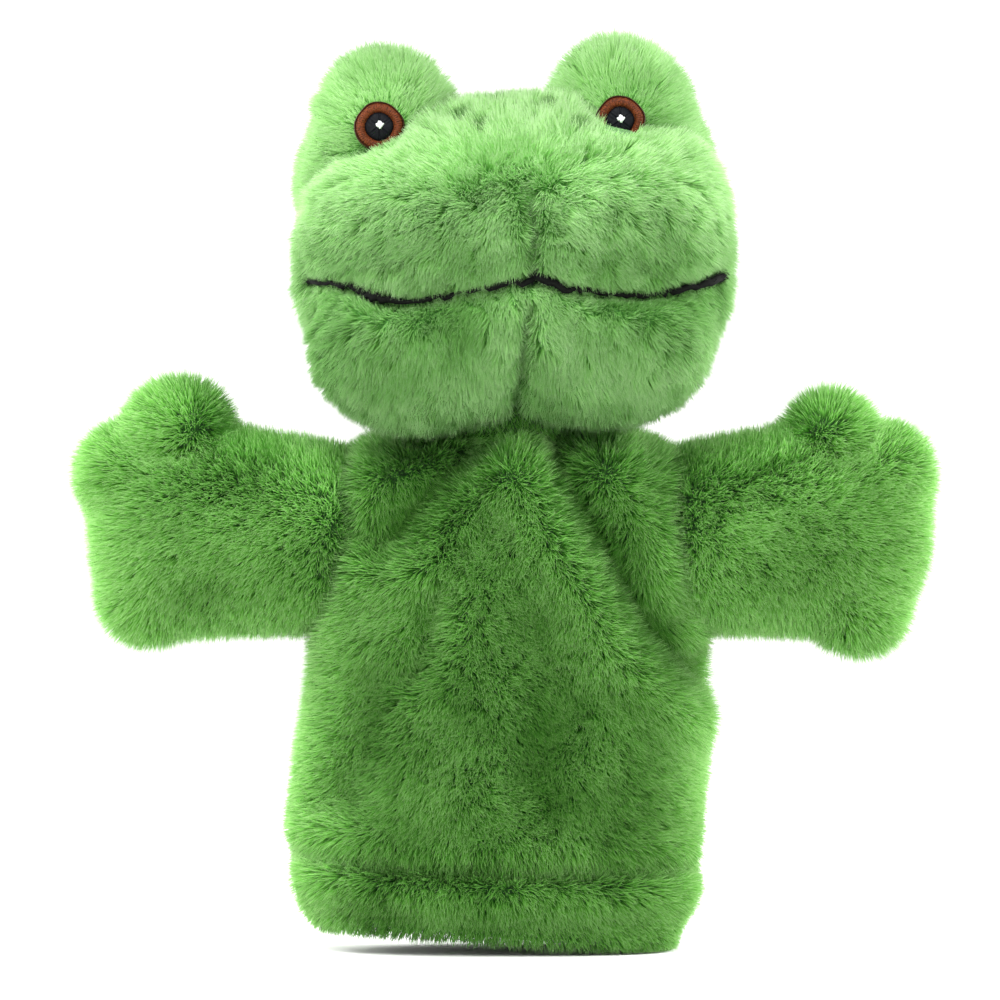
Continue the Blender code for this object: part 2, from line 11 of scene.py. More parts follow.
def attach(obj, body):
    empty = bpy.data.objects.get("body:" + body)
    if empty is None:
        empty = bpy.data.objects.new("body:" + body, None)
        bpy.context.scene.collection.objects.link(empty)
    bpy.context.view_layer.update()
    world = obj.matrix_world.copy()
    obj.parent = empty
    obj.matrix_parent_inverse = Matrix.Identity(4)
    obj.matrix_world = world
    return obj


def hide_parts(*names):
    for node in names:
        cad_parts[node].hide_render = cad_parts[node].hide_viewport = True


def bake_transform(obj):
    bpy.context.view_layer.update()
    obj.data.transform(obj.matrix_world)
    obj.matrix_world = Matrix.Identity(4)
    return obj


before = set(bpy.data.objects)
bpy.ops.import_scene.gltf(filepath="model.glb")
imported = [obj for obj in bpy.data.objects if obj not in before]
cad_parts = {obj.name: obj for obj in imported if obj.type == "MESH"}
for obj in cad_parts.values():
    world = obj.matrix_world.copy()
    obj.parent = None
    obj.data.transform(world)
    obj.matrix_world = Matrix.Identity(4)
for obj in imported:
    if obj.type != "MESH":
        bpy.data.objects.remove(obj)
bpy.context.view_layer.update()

mm = 0.001                # sizes below are in millimetres, and meshes are written in metres
scene = bpy.context.scene


def linearColour(hexColour):        # "#RRGGBB" as seen on screen, to the linear values that nodes use
    parts = [int(hexColour[i:i + 2], 16) / 255 for i in (1, 3, 5)]
    return [c / 12.92 if c <= 0.04045 else ((c + 0.055) / 1.055) ** 2.4 for c in parts] + [1]


def findSocket(sockets, key):
    if isinstance(key, int):
        return sockets[key]
    return next(s for s in sockets if s.name == key and s.enabled)


def addNode(tree, kind, inputs=None, **settings):        # a node with its settings and links
    node = tree.nodes.new(kind)
    for name, value in settings.items():
        setattr(node, name, value)
    for key, value in (inputs or {}).items():
        socket = findSocket(node.inputs, key)
        if isinstance(value, bpy.types.Node):
            value = next(s for s in value.outputs if s.enabled)
        if isinstance(value, bpy.types.NodeSocket):
            tree.links.new(value, socket)
        else:
            socket.default_value = value
    return node


def newObject(name, points, faces, material=None, edges=()):        # points in millimetres
    mesh = bpy.data.meshes.new(name)
    mesh.from_pydata((np.asarray(points, float) * mm).tolist(), list(edges), faces)
    mesh.update()
    mesh.shade_smooth()
    obj = bpy.data.objects.new(name, mesh)
    scene.collection.objects.link(obj)
    if material:
        mesh.materials.append(material)
    return obj


def pointsOf(obj):
    points = np.empty(len(obj.data.vertices) * 3)
    obj.data.vertices.foreach_get("co", points)
    return points.reshape(-1, 3) / mm


def normalsOf(obj):
    normals = np.empty(len(obj.data.vertices) * 3)
    obj.data.vertices.foreach_get("normal", normals)
    return normals.reshape(-1, 3)


def movePoints(obj, points):
    obj.data.vertices.foreach_set("co", (points * mm).ravel())
    obj.data.update()


def bake(obj):        # its modifiers become its mesh
    mesh = bpy.data.meshes.new_from_object(obj.evaluated_get(bpy.context.evaluated_depsgraph_get()))
    materials = list(obj.data.materials)
    obj.modifiers.clear()
    obj.data = mesh
    mesh.name = obj.name
    mesh.shade_smooth()
    if not mesh.materials:
        for material in materials:
            mesh.materials.append(material)


def setAttribute(obj, name, values):
    vector = values.ndim == 2
    kind = "FLOAT_VECTOR" if vector else "FLOAT"
    old = obj.data.attributes.get(name)
    attribute = old or obj.data.attributes.new(name, kind, "POINT")
    attribute.data.foreach_set("vector" if vector else "value", values.ravel())


def smoothStep(values, low, high):
    share = np.clip((np.asarray(values, float) - low) / (high - low), 0, 1)
    return share * share * (3 - 2 * share)


def smoothPath(points, steps):        # a smooth curve through the points, steps for each stretch
    points = np.asarray(points, float)
    padded = np.vstack([2 * points[0] - points[1], points, 2 * points[-1] - points[-2]])
    path = []
    for a, b, c, d in zip(padded, padded[1:], padded[2:], padded[3:]):
        for t in np.linspace(0, 1, steps, endpoint=False):
            path.append(0.5 * (2 * b + (c - a) * t + (2 * a - 5 * b + 4 * c - d) * t ** 2
                               + (3 * b - a - 3 * c + d) * t ** 3))
    return np.array(path + [points[-1]])


def distanceToPath(points, path):        # from each point to the nearest stretch, in the path's own axes
    nearest = np.full(len(points), 1e9)
    for start, end in zip(path, path[1:]):
        run = end - start
        share = np.clip(((points - start) @ run) / max(run @ run, 1e-9), 0, 1)
        nearest = np.minimum(nearest, np.linalg.norm(points - start - share[:, None] * run, axis=1))
    return nearest


def gridFaces(rows, columns, closed):
    faces = []
    for row in range(rows - 1):
        for column in range(columns if closed else columns - 1):
            after = (column + 1) % columns
            low = row * columns
            faces.append((low + column, low + after, low + columns + after, low + columns + column))
    return faces


def superellipse(halfWidth, halfDepth, power, angles):
    x = np.sign(np.cos(angles)) * np.abs(np.cos(angles)) ** (2 / power) * halfWidth
    y = np.sign(np.sin(angles)) * np.abs(np.sin(angles)) ** (2 / power) * halfDepth
    return x, y


def ellipsoid(centre, size, steps=32, rows=16):        # points and faces of a closed ball
    points = []
    for latitude in np.linspace(-math.pi / 2, math.pi / 2, rows + 1):
        for longitude in np.linspace(0, 2 * math.pi, steps, endpoint=False):
            unit = (math.cos(latitude) * math.cos(longitude), math.cos(latitude) * math.sin(longitude),
                    math.sin(latitude))
            points.append([c + s * u for c, s, u in zip(centre, size, unit)])
    return points, gridFaces(rows + 1, steps, True)


def loft(rings):        # closed rings with a cap on each end
    rows, columns = rings.shape[:2]
    faces = gridFaces(rows, columns, True)
    faces += [tuple(range(columns))[::-1], tuple(range((rows - 1) * columns, rows * columns))]
    return rings.reshape(-1, 3), faces


def cleaned(obj, merged=0, thinnest=0):        # near points joined, slivers removed, faces turned outwards
    work = bmesh.new()
    work.from_mesh(obj.data)
    if merged:
        bmesh.ops.remove_doubles(work, verts=work.verts, dist=merged * mm)
        bmesh.ops.dissolve_degenerate(work, edges=work.edges, dist=thinnest * mm)
    bmesh.ops.recalc_face_normals(work, faces=work.faces)
    work.to_mesh(obj.data)
    work.free()


def fused(name, parts, voxel, rounds):        # overlapping closed forms as one smooth skin
    points = []
    faces = []
    for partPoints, partFaces in parts:
        faces += [tuple(i + len(points) for i in face) for face in partFaces]
        points += [list(p) for p in partPoints]
    obj = newObject(name, points, faces)
    cleaned(obj, 0.01, 0.001)
    remesh = obj.modifiers.new("skin", "REMESH")
    remesh.mode = "VOXEL"
    remesh.voxel_size = voxel * mm
    smooth = obj.modifiers.new("smooth", "SMOOTH")
    smooth.factor = 0.5
    smooth.iterations = rounds
    bake(obj)
    return obj


def subdivided(obj, levels=1):
    modifier = obj.modifiers.new("fine", "SUBSURF")
    modifier.levels = levels
    modifier.render_levels = levels
    bake(obj)


def thickened(obj, thickness):        # a cloth's own thickness, grown inwards
    modifier = obj.modifiers.new("thickness", "SOLIDIFY")
    modifier.thickness = thickness * mm
    modifier.offset = -1
    bake(obj)


def puffed(obj, held, pressure, cap, frames=20):        # cloth with air pressure inside, held at its seams
    before = pointsOf(obj)
    group = obj.vertex_groups.new(name="seams")
    for index, weight in enumerate(held):
        if weight > 0:
            group.add([index], float(weight), "REPLACE")
    modifier = obj.modifiers.new("cloth", "CLOTH")
    cloth = modifier.settings
    cloth.use_pressure = True
    cloth.uniform_pressure_force = pressure
    cloth.vertex_group_mass = group.name
    cloth.effector_weights.gravity = 0
    cloth.quality = 6
    modifier.point_cache.frame_start = 1
    modifier.point_cache.frame_end = frames
    for number in range(1, frames + 1):
        scene.frame_set(number)
    bake(obj)
    scene.frame_set(1)
    moved = pointsOf(obj) - before
    far = np.linalg.norm(moved, axis=1, keepdims=True)
    movePoints(obj, before + moved * np.minimum(1, cap / np.maximum(far, 1e-6)))
    print(f"{obj.name}: puffed by up to {far.max():.1f} mm, kept to {cap} mm")


def splitOff(obj, name, chosen):        # a new piece from the chosen faces, with the mesh's attributes
    piece = bpy.data.objects.new(name, obj.data.copy())
    piece.data.name = name
    scene.collection.objects.link(piece)
    work = bmesh.new()
    work.from_mesh(piece.data)
    work.faces.ensure_lookup_table()
    bmesh.ops.delete(work, geom=[f for f, keep in zip(work.faces, chosen) if not keep], context="FACES")
    work.to_mesh(piece.data)
    work.free()
    return piece


def faceCentres(obj):
    centres = np.empty(len(obj.data.polygons) * 3)
    obj.data.polygons.foreach_get("center", centres)
    return centres.reshape(-1, 3) / mm


def treeOver(obj):
    return BVHTree.FromPolygons([v.co[:] for v in obj.data.vertices],
                                [p.vertices[:] for p in obj.data.polygons])


def onFront(tree, x, z):        # where a line along +Y meets the surface, with its normal
    place, normal, _, _ = tree.ray_cast((x * mm, -0.3, z * mm), (0, 1, 0))
    if place is None:
        place, normal, _, _ = tree.find_nearest((x * mm, 0, z * mm))
    return np.array(place) / mm, np.array(normal)


def remove(*objects):
    for obj in objects:
        bpy.data.objects.remove(obj, do_unlink=True)


studio = {        # camera, light and floor
    "cameraAway": 1500, "cameraX": -2.9, "cameraZ": 129.3, "frameWidth": 287.4, "sensor": 36,
    "world": 1.1,
    "lights": {        # place, size, power
        "key light": ((-350, -900, 950), 900, 22), "fill light": ((700, -900, 250), 900, 7),
        "left rim light": ((900, 350, 420), 600, 14), "right rim light": ((-900, 350, 420), 600, 14),
    },
    "aimHeight": 130, "floorColour": "#FAFAF8",
    "floorSize": 3000, "floorBack": 2300, "sweepRadius": 350, "wallHeight": 1500,
}


def aimedLight(name, place, size, power):
    light = bpy.data.lights.new(name, "AREA")
    light.shape = "DISK"
    light.size = size * mm
    light.energy = power
    obj = bpy.data.objects.new(name, light)
    scene.collection.objects.link(obj)
    obj.location = np.array(place) * mm
    toObject = Vector((0, 0, studio["aimHeight"] * mm)) - obj.location
    obj.rotation_euler = toObject.to_track_quat("-Z", "Y").to_euler()


def makeStudio():
    s = studio
    camera = bpy.data.cameras.new("camera")
    camera.sensor_width = s["sensor"]
    camera.lens = s["sensor"] * s["cameraAway"] / s["frameWidth"]
    camera.clip_end = 10
    obj = bpy.data.objects.new("camera", camera)
    scene.collection.objects.link(obj)
    obj.location = (s["cameraX"] * mm, -s["cameraAway"] * mm, s["cameraZ"] * mm)
    obj.rotation_euler = (math.pi / 2, 0, 0)
    scene.camera = obj
    scene.view_settings.view_transform = "Standard"

    world = bpy.data.worlds.new("studio")
    world.use_nodes = True
    world.node_tree.nodes["Background"].inputs["Color"].default_value = (1, 1, 1, 1)
    world.node_tree.nodes["Background"].inputs["Strength"].default_value = s["world"]
    scene.world = world
    for name, light in s["lights"].items():
        aimedLight(name, *light)

    profile = [(-s["floorSize"], 0)]
    for angle in np.linspace(-math.pi / 2, 0, 13):
        profile.append((s["floorBack"] + s["sweepRadius"] * math.cos(angle),
                        s["sweepRadius"] * (1 + math.sin(angle))))
    profile.append((profile[-1][0], s["wallHeight"]))
    rows = np.array([[(x, y, z) for x in (-s["floorSize"], s["floorSize"])] for y, z in profile])
    paper = bpy.data.materials.new("matt paper backdrop")        # plain, without gloss
    paper.use_nodes = True
    shader = paper.node_tree.nodes["Principled BSDF"]
    shader.inputs["Base Color"].default_value = linearColour(s["floorColour"])
    shader.inputs["Roughness"].default_value = 0.9
    newObject("backdrop", rows.reshape(-1, 3), gridFaces(len(rows), 2, False), paper)
    print("studio made")


plushLooks = {        # root to tip, then the darkest and lightest fibre's tint
    "bodyPlush": {"stops": ((0, "#1D4E0A"), (0.35, "#479022"), (0.72, "#80C856"), (1, "#C8F0A8")),
                  "dark": "#84A56C", "light": "#FFFFFF"},
    # the head's plush is the body's coat drawn lighter and paler: painted light from above
    "headPlush": {"stops": ((0, "#7CC254"), (0.35, "#9CDC76"), (0.75, "#BAEB9C"), (1, "#E0F7D0")),
                  "dark": "#93B283", "light": "#FFFFFF"},
}
plushFibre = {        # speck: the few grey-green fibres in the coat, through: light that passes a thin fibre
    "speck": "#6E8A62", "roughness": 0.8, "specular": 0.2, "sheen": 0.35, "sheenRoughness": 0.4,
    "sheenTint": "#CFF0B8", "through": 0.45,
}


def newMaterial(name):        # with its node tree and its shader
    material = bpy.data.materials.new(name)
    material.use_nodes = True
    return material, material.node_tree, material.node_tree.nodes["Principled BSDF"]


def ramp(tree, stops, value):
    node = addNode(tree, "ShaderNodeValToRGB", {"Fac": value})
    elements = node.color_ramp.elements
    while len(elements) < len(stops):
        elements.new(0.5)
    for element, (place, colour) in zip(elements, stops):
        element.position = place
        element.color = linearColour(colour)
    return node


def plushMaterial(name, stops, dark, light):        # acrylic pile: soft, no gloss, pale at the tips
    material, tree, shader = newMaterial(name)
    parts = addNode(tree, "ShaderNodeSeparateXYZ", {0: addNode(tree, "ShaderNodeUVMap", uv_map="OFBake")})
    alongStrand = ramp(tree, stops, parts.outputs["Y"])
    tint = ramp(tree, ((0, plushFibre["speck"]), (0.03, dark), (1, light)), parts.outputs["X"])
    mixed = addNode(tree, "ShaderNodeMix", {"Factor": 1.0, "A": alongStrand, "B": tint},
                    data_type="RGBA", blend_type="MULTIPLY")
    mixed = next(s for s in mixed.outputs if s.enabled)
    tree.links.new(mixed, shader.inputs["Base Color"])
    shader.inputs["Roughness"].default_value = plushFibre["roughness"]
    shader.inputs["Specular IOR Level"].default_value = plushFibre["specular"]
    shader.inputs["Sheen Weight"].default_value = plushFibre["sheen"]
    shader.inputs["Sheen Roughness"].default_value = plushFibre["sheenRoughness"]
    shader.inputs["Sheen Tint"].default_value = linearColour(plushFibre["sheenTint"])
    through = addNode(tree, "ShaderNodeBsdfTranslucent", {"Color": mixed})
    both = addNode(tree, "ShaderNodeMixShader", {"Fac": plushFibre["through"], 1: shader, 2: through})
    tree.links.new(both.outputs["Shader"], tree.nodes["Material Output"].inputs["Surface"])
    return material


knitLook = {"pitch": 1.3, "strength": 0.4}        # loops drawn coarser than real ones, so that they show


def knitMaterial(name, low, high, roughness):        # warp-knitted cloth: rows of small loops
    material, tree, shader = newMaterial(name)
    place = addNode(tree, "ShaderNodeTexCoord").outputs["Object"]
    waves = []
    for axis in ("X", "Z"):
        waves.append(addNode(tree, "ShaderNodeTexWave", {
            "Vector": place, "Scale": 0.314 / (knitLook["pitch"] * mm), "Distortion": 1.5,
            "Detail": 1.0, "Detail Scale": 2.0}, bands_direction=axis))
    loops = addNode(tree, "ShaderNodeMath", {0: waves[0].outputs["Fac"], 1: waves[1].outputs["Fac"]},
                    operation="MULTIPLY")
    colour = ramp(tree, ((0, low), (1, high)), loops)
    bump = addNode(tree, "ShaderNodeBump", {"Height": loops, "Distance": 0.3 * mm,
                                            "Strength": knitLook["strength"]})
    tree.links.new(colour.outputs["Color"], shader.inputs["Base Color"])
    tree.links.new(bump.outputs["Normal"], shader.inputs["Normal"])
    shader.inputs["Roughness"].default_value = roughness
    shader.inputs["Sheen Weight"].default_value = 0.2
    return material


def threadMaterial(name, low, high, pitch, roughness):        # rayon or polyester thread with fine twist
    material, tree, shader = newMaterial(name)
    place = addNode(tree, "ShaderNodeTexCoord").outputs["Object"]
    grain = addNode(tree, "ShaderNodeTexNoise", {"Vector": place, "Scale": 1 / (pitch * mm), "Detail": 3.0})
    colour = ramp(tree, ((0.3, low), (0.7, high)), grain.outputs["Fac"])
    bump = addNode(tree, "ShaderNodeBump", {"Height": grain.outputs["Fac"], "Distance": 0.1 * mm,
                                            "Strength": 0.5})
    tree.links.new(colour.outputs["Color"], shader.inputs["Base Color"])
    tree.links.new(bump.outputs["Normal"], shader.inputs["Normal"])
    shader.inputs["Roughness"].default_value = roughness
    shader.inputs["Specular IOR Level"].default_value = 0.12
    return material


knits = {        # name, low, high, roughness
    "bodyBacking": ("knitted plush backing, leaf green", "#163A0D", "#2B6419", 0.9),
    "headBacking": ("knitted plush backing, light green", "#3A7427", "#5E9E45", 0.9),
    "lining": ("polyester tricot lining", "#2A5A1C", "#4B8A38", 0.55),
}
threads = {        # name, low, high, pitch, roughness
    "stuffing": ("polyester fibre stuffing", "#D8D8D2", "#F6F6F2", 2.5, 1.0),
    "mouthYarn": ("black embroidery yarn", "#020302", "#0A0C09", 0.6, 0.9),
    "seamThread": ("green polyester sewing thread", "#3E6B2D", "#6E9A58", 0.5, 0.6),
    "irisThread": ("brown rayon embroidery thread", "#2C1307", "#6B3419", 0.5, 0.5),
    "pupilThread": ("near-black rayon embroidery thread", "#020304", "#090B12", 0.5, 0.6),
    "outlineThread": ("dark brown rayon outline thread", "#1E0F08", "#3B2012", 0.5, 0.45),
    "highlightThread": ("white rayon embroidery thread", "#D9DCDC", "#FFFFFF", 0.5, 0.4),
}


def makeMaterials():
    looks = {key: plushMaterial(key, **look) for key, look in plushLooks.items()}
    looks.update({key: knitMaterial(*look) for key, look in knits.items()})
    looks.update({key: threadMaterial(*look) for key, look in threads.items()})
    print("materials made")
    return looks


# the pile: each tuft of fibre is one thin blade
pileInputs = {
    "Geometry": "Geometry", "Blade": "Object", "Finish": "Material", "Density": "Float", "Length": "Float",
    "Length spread": "Float", "Width": "Float", "Upright": "Float", "Lay": "Float", "Swirl": "Float",
    "Swirl size": "Float", "Clump size": "Float", "Clump gather": "Float", "Clump lean": "Float",
    "Stray": "Float", "Twist": "Float", "Patch size": "Float",
}
# the first four come from the skin, the next two from the blade, and the rest are worked out
pileAttributes = {
    "comb": "FLOAT_VECTOR", "cover": "FLOAT", "reachShare": "FLOAT", "tone": "FLOAT",
    "along": "FLOAT", "side": "FLOAT", "root": "FLOAT_VECTOR", "outward": "FLOAT_VECTOR",
    "reach": "FLOAT_VECTOR", "across": "FLOAT_VECTOR", "shade": "FLOAT",
}
bladeShape = ((0, 0), (0.55, 1), (1, 0))        # along the fibre, and out to its side
palette = 128        # columns of the colour map, one tint each
# what makes up a fibre's tint; aboveSpeck is the least that keeps it out of the speck colour
tintShares = {"start": -0.85, "patch": 1.2, "clump": 0.2, "fibre": 0.3, "aboveSpeck": 0.04}
bladeRounding = 0.35        # how far a blade's normal leans across and along the fibre


def makeBlade():
    blade = newObject("blade", [(0, side, along) for along, side in bladeShape], [(0, 1, 2)])
    setAttribute(blade, "along", np.array([along for along, _ in bladeShape], float))
    setAttribute(blade, "side", np.array([side for _, side in bladeShape], float))
    return blade


def makePileTree():
    tree = bpy.data.node_groups.new("plush pile", "GeometryNodeTree")
    for name, kind in pileInputs.items():
        tree.interface.new_socket(name, in_out="INPUT", socket_type=f"NodeSocket{kind}")
    tree.interface.new_socket("Geometry", in_out="OUTPUT", socket_type="NodeSocketGeometry")
    add = functools.partial(addNode, tree)
    given = add("NodeGroupInput").outputs

    named = {name: add("GeometryNodeInputNamedAttribute", {"Name": name}, data_type=kind)
             for name, kind in pileAttributes.items()}

    def number(operation, *values, **settings):
        return add("ShaderNodeMath", dict(enumerate(values)), operation=operation, **settings)

    def vector(operation, *values):
        return add("ShaderNodeVectorMath", dict(enumerate(values)), operation=operation)

    density = number("MULTIPLY", given["Density"], named["cover"])
    spots = add("GeometryNodeDistributePointsOnFaces",
                {"Mesh": given["Geometry"], "Density": density, "Seed": 7})
    normal = spots.outputs["Normal"]
    place = add("GeometryNodeInputPosition")

    def scaleOf(size):
        return number("DIVIDE", 1.0, given[size])

    swirl = add("ShaderNodeTexNoise", {"Vector": place, "Scale": scaleOf("Swirl size"), "Detail": 3.0})
    cells = add("ShaderNodeTexVoronoi", {"Vector": place, "Scale": scaleOf("Clump size")})
    patch = add("ShaderNodeTexNoise", {"Vector": place, "Scale": scaleOf("Patch size"), "Detail": 2.0})
    stray = add("FunctionNodeRandomValue", {"Min": (-1, -1, -1), "Max": (1, 1, 1), "Seed": 3},
                data_type="FLOAT_VECTOR")
    chance = add("FunctionNodeRandomValue", {"Min": 0.0, "Max": 1.0, "Seed": 5}, data_type="FLOAT")
    turn = add("FunctionNodeRandomValue", {"Min": -1.0, "Max": 1.0, "Seed": 11}, data_type="FLOAT")

    direction = (0, 0, 0)
    for lean, share in ((normal, "Upright"), (named["comb"], "Lay"), (stray, "Stray")):
        direction = vector("MULTIPLY_ADD", lean, given[share], direction)
    for texture, share in ((swirl, "Swirl"), (cells, "Clump lean")):
        centred = vector("SUBTRACT", texture.outputs["Color"], (0.5, 0.5, 0.5))
        direction = vector("MULTIPLY_ADD", centred, given[share], direction)
    direction = vector("NORMALIZE", direction)

    spread = number("MULTIPLY", chance, given["Length spread"])
    length = number("SUBTRACT", 1.0, spread)
    for factor in (given["Length"], named["reachShare"]):
        length = number("MULTIPLY", length, factor)

    toClump = vector("SUBTRACT", cells.outputs["Position"], place)
    raised = vector("PROJECT", toClump, normal)
    toClump = vector("SUBTRACT", toClump, raised)
    gathered = vector("MULTIPLY", toClump, given["Clump gather"])
    reach = vector("MULTIPLY_ADD", direction, length, gathered)

    across = vector("CROSS_PRODUCT", direction, normal)
    across = vector("NORMALIZE", across)
    angle = number("MULTIPLY", turn, given["Twist"])
    across = add("ShaderNodeVectorRotate", {"Vector": across, "Axis": direction, "Angle": angle})
    across = vector("MULTIPLY", across, given["Width"])

    # a fibre's tint comes from the skin's tone, which holds painted light and shade in places, its patch of
    # the coat, its clump and itself
    cellValue = add("ShaderNodeSeparateXYZ", {0: cells.outputs["Color"]})
    shade = number("ADD", named["tone"], tintShares["start"])
    for value, share in ((patch, "patch"), (cellValue, "clump"), (chance, "fibre")):
        shade = number("MULTIPLY_ADD", value, tintShares[share], shade)
    least = number("MULTIPLY", named["tone"], 10.0, use_clamp=True)
    least = number("MULTIPLY", least, tintShares["aboveSpeck"])
    shade = add("ShaderNodeClamp", {"Value": shade, "Min": least})

    flow = spots.outputs["Points"]
    for name, value in (("root", place), ("outward", normal), ("reach", reach), ("across", across),
                        ("shade", shade)):
        flow = add("GeometryNodeStoreNamedAttribute", {"Geometry": flow, "Name": name, "Value": value},
                   data_type=pileAttributes[name], domain="POINT")
    blade = add("GeometryNodeObjectInfo", {"Object": given["Blade"]}).outputs["Geometry"]
    flow = add("GeometryNodeInstanceOnPoints", {"Points": flow, "Instance": blade})
    flow = add("GeometryNodeRealizeInstances", {"Geometry": flow})

    along = named["along"]
    spot = named["root"]
    for name, share in (("reach", along), ("across", named["side"])):
        spot = vector("MULTIPLY_ADD", named[name], share, spot)
    flow = add("GeometryNodeSetPosition", {"Geometry": flow, "Position": spot})

    # the map: a column of tint for each fibre, from root at the bottom to tip at the top
    column = number("MULTIPLY", named["shade"], palette - 1.0)
    column = number("ROUND", column)
    column = number("MULTIPLY_ADD", named["side"], 0.4, column)
    column = number("ADD", column, 0.5)
    column = number("DIVIDE", column, float(palette))
    height = number("MULTIPLY_ADD", along, 0.96, 0.02)
    onMap = add("ShaderNodeCombineXYZ", {"X": column, "Y": height})
    flow = add("GeometryNodeStoreNamedAttribute", {"Geometry": flow, "Name": "OFBake", "Value": onMap},
               data_type="FLOAT2", domain="CORNER")

    # shaded as the cloth below it, rounded a little across the fibre
    sideways = vector("NORMALIZE", named["across"])
    sideways = vector("MULTIPLY", sideways, named["side"])
    forward = vector("NORMALIZE", named["reach"])
    facing = named["outward"]
    for lean in (sideways, forward):
        facing = vector("MULTIPLY_ADD", lean, (bladeRounding,) * 3, facing)
    facing = vector("NORMALIZE", facing)
    flow = add("GeometryNodeSetMeshNormal", {"Mesh": flow, "Custom Normal": facing}, mode="FREE",
               domain="POINT")
    for name in pileAttributes:
        flow = add("GeometryNodeRemoveAttribute", {"Geometry": flow, "Name": name})
    flow = add("GeometryNodeSetMaterial", {"Geometry": flow, "Material": given["Finish"]})
    add("NodeGroupOutput", {"Geometry": flow})
    return tree


def useTree(obj, tree, values):        # a node tree with its named inputs set, baked into the mesh
    modifier = obj.modifiers.new(tree.name, "NODES")
    modifier.node_group = tree
    for item in tree.interface.items_tree:
        if item.in_out == "INPUT" and item.name in values:
            modifier[item.identifier] = values[item.name]
    bake(obj)


def growPile(skin, name, look, finish):        # look holds the tree's named inputs
    piece = bpy.data.objects.new(name, skin.data)
    scene.collection.objects.link(piece)
    useTree(piece, pileTree, dict(look, Blade=blade, Finish=finish))
    print(f"{name}: {len(piece.data.polygons)} triangles of pile")
    return piece


# the direction is given in space and laid along the skin
def combed(obj, direction, cover=None, reachShare=None, tone=0.5):
    normals = normalsOf(obj)
    direction = np.broadcast_to(np.asarray(direction, float), normals.shape)
    laid = direction - (direction * normals).sum(1, keepdims=True) * normals
    full = np.ones(len(normals))
    setAttribute(obj, "comb", laid)
    setAttribute(obj, "cover", full if cover is None else cover)
    setAttribute(obj, "reachShare", full if reachShare is None else reachShare)
    setAttribute(obj, "tone", full * tone)


bodyPile = {
    "Density": 9.4e6, "Length": 9.5 * mm, "Length spread": 0.45, "Width": 0.27 * mm, "Upright": 1.0,
    "Lay": 0.35, "Swirl": 1.1, "Swirl size": 22 * mm, "Clump size": 2.2 * mm, "Clump gather": 0.22,
    "Clump lean": 0.3, "Stray": 0.3, "Twist": 1.4, "Patch size": 26 * mm,
}
headPile = dict(bodyPile, **{
    "Density": 12e6, "Length": 8.5 * mm, "Width": 0.25 * mm, "Lay": 0.9, "Swirl": 1.0,
    "Swirl size": 15 * mm, "Clump size": 4.5 * mm, "Clump gather": 0.15, "Clump lean": 0.7,
})


head = {
    # height, half width, front, back; the widest part is at the mouth and just above it
    "sections": ((153, 24, -14, 24), (158, 35, -27, 26), (166, 44, -41, 28), (175, 52, -47, 29),
                 (186, 58, -49, 30), (197, 58, -51, 30), (207, 58, -50, 30), (216, 56.5, -45, 29),
                 (224, 51, -37, 27), (230, 41, -27, 24), (235, 30, -18, 19), (240, 17, -8, 10)),
    "centreY": -7, "power": 2.35, "steps": 72,
    "chins": (((-26.5, -25, 174.5), (27, 25, 21.5)), ((27.5, -25, 176), (26, 25, 21))),
    "lean": 0.07,            # the snout's top rises towards its left
    "shiftX": 1.0, "voxel": 3.0, "smoothing": 6,
    "mouth": ((-56, 191.6), (-46, 189.4), (-33, 184.4), (-14, 186.8), (5, 189.8), (20, 187.4),
              (36, 186.2), (48, 188.6), (58, 193.2)),
    "lipCrease": ((6, 191), (6.5, 204), (5, 216)), "chinCrease": ((1.5, 153), (3, 166), (5.5, 182)),
    "mouthDepth": 3.4, "mouthWidth": 4.0, "lipDepth": 4.6, "lipWidth": 2.0, "chinDepth": 5, "chinWidth": 3,
    "specks": ((-4.3, 240.3), (9.2, 238), (-12, 235), (-6.9, 232.2), (18.1, 232.2)), "speckSize": 2.2,
    "pressure": 4, "cap": 5, "cloth": 1.2, "neckRoom": 26, "neckRise": 20, "fingerHole": 13,
    "panelMeetY": 2, "baseTop": 182, "bareNeck": 24, "partX": 5.5,
    "stuffingInset": 3.0,
}
eyes = {        # centre and size of each mound, then the eye's centre
    "left": {"mound": (31.5, 4, 237.5), "size": (17, 15, 21), "eye": (31.3, 237.3),
             "base": ((39, 5, 223), (17, 15, 18))},
    "right": {"mound": (-36, 4, 235.5), "size": (17, 15, 20), "eye": (-37.3, 235.6),
              "base": ((-42, 5, 220), (17, 15, 18))},
    "irisRadius": 6.7, "pupilRadius": 4.0, "outline": 0.45, "highlightRadius": 1.05, "raised": 3.2,
    "stitches": 56, "steps": 224, "dome": 0.9, "thickness": 1.4, "ridge": 0.35,
    "stuffingInset": 2.4, "voxel": 2.2, "smoothing": 5,
}


def headSkin():
    h = head
    angles = np.linspace(0, 2 * math.pi, h["steps"], endpoint=False)
    rings = []
    for height, halfWidth, front, back in h["sections"]:
        x, y = superellipse(halfWidth, 1, h["power"], angles)
        depth = np.where(y < 0, h["centreY"] - front, back - h["centreY"])
        rings.append(np.stack([x + h["shiftX"], h["centreY"] + y * depth, np.full(len(x), height)], axis=1))
    parts = [loft(np.array(rings))] + [ellipsoid(*chin) for chin in h["chins"]]
    skin = fused("headSkin", parts, h["voxel"], h["smoothing"])
    points = pointsOf(skin)
    points[:, 2] += h["lean"] * points[:, 0] * smoothStep(points[:, 2], 190, 225)
    movePoints(skin, points)
    return skin


def seamDistances(points):        # seen from the front, only for points on the front half
    flat = points[:, [0, 2]]
    behind = smoothStep(points[:, 1], -22, 2) * 40
    return [distanceToPath(flat, smoothPath(head[key], 6)) + behind
            for key in ("mouth", "lipCrease", "chinCrease")]


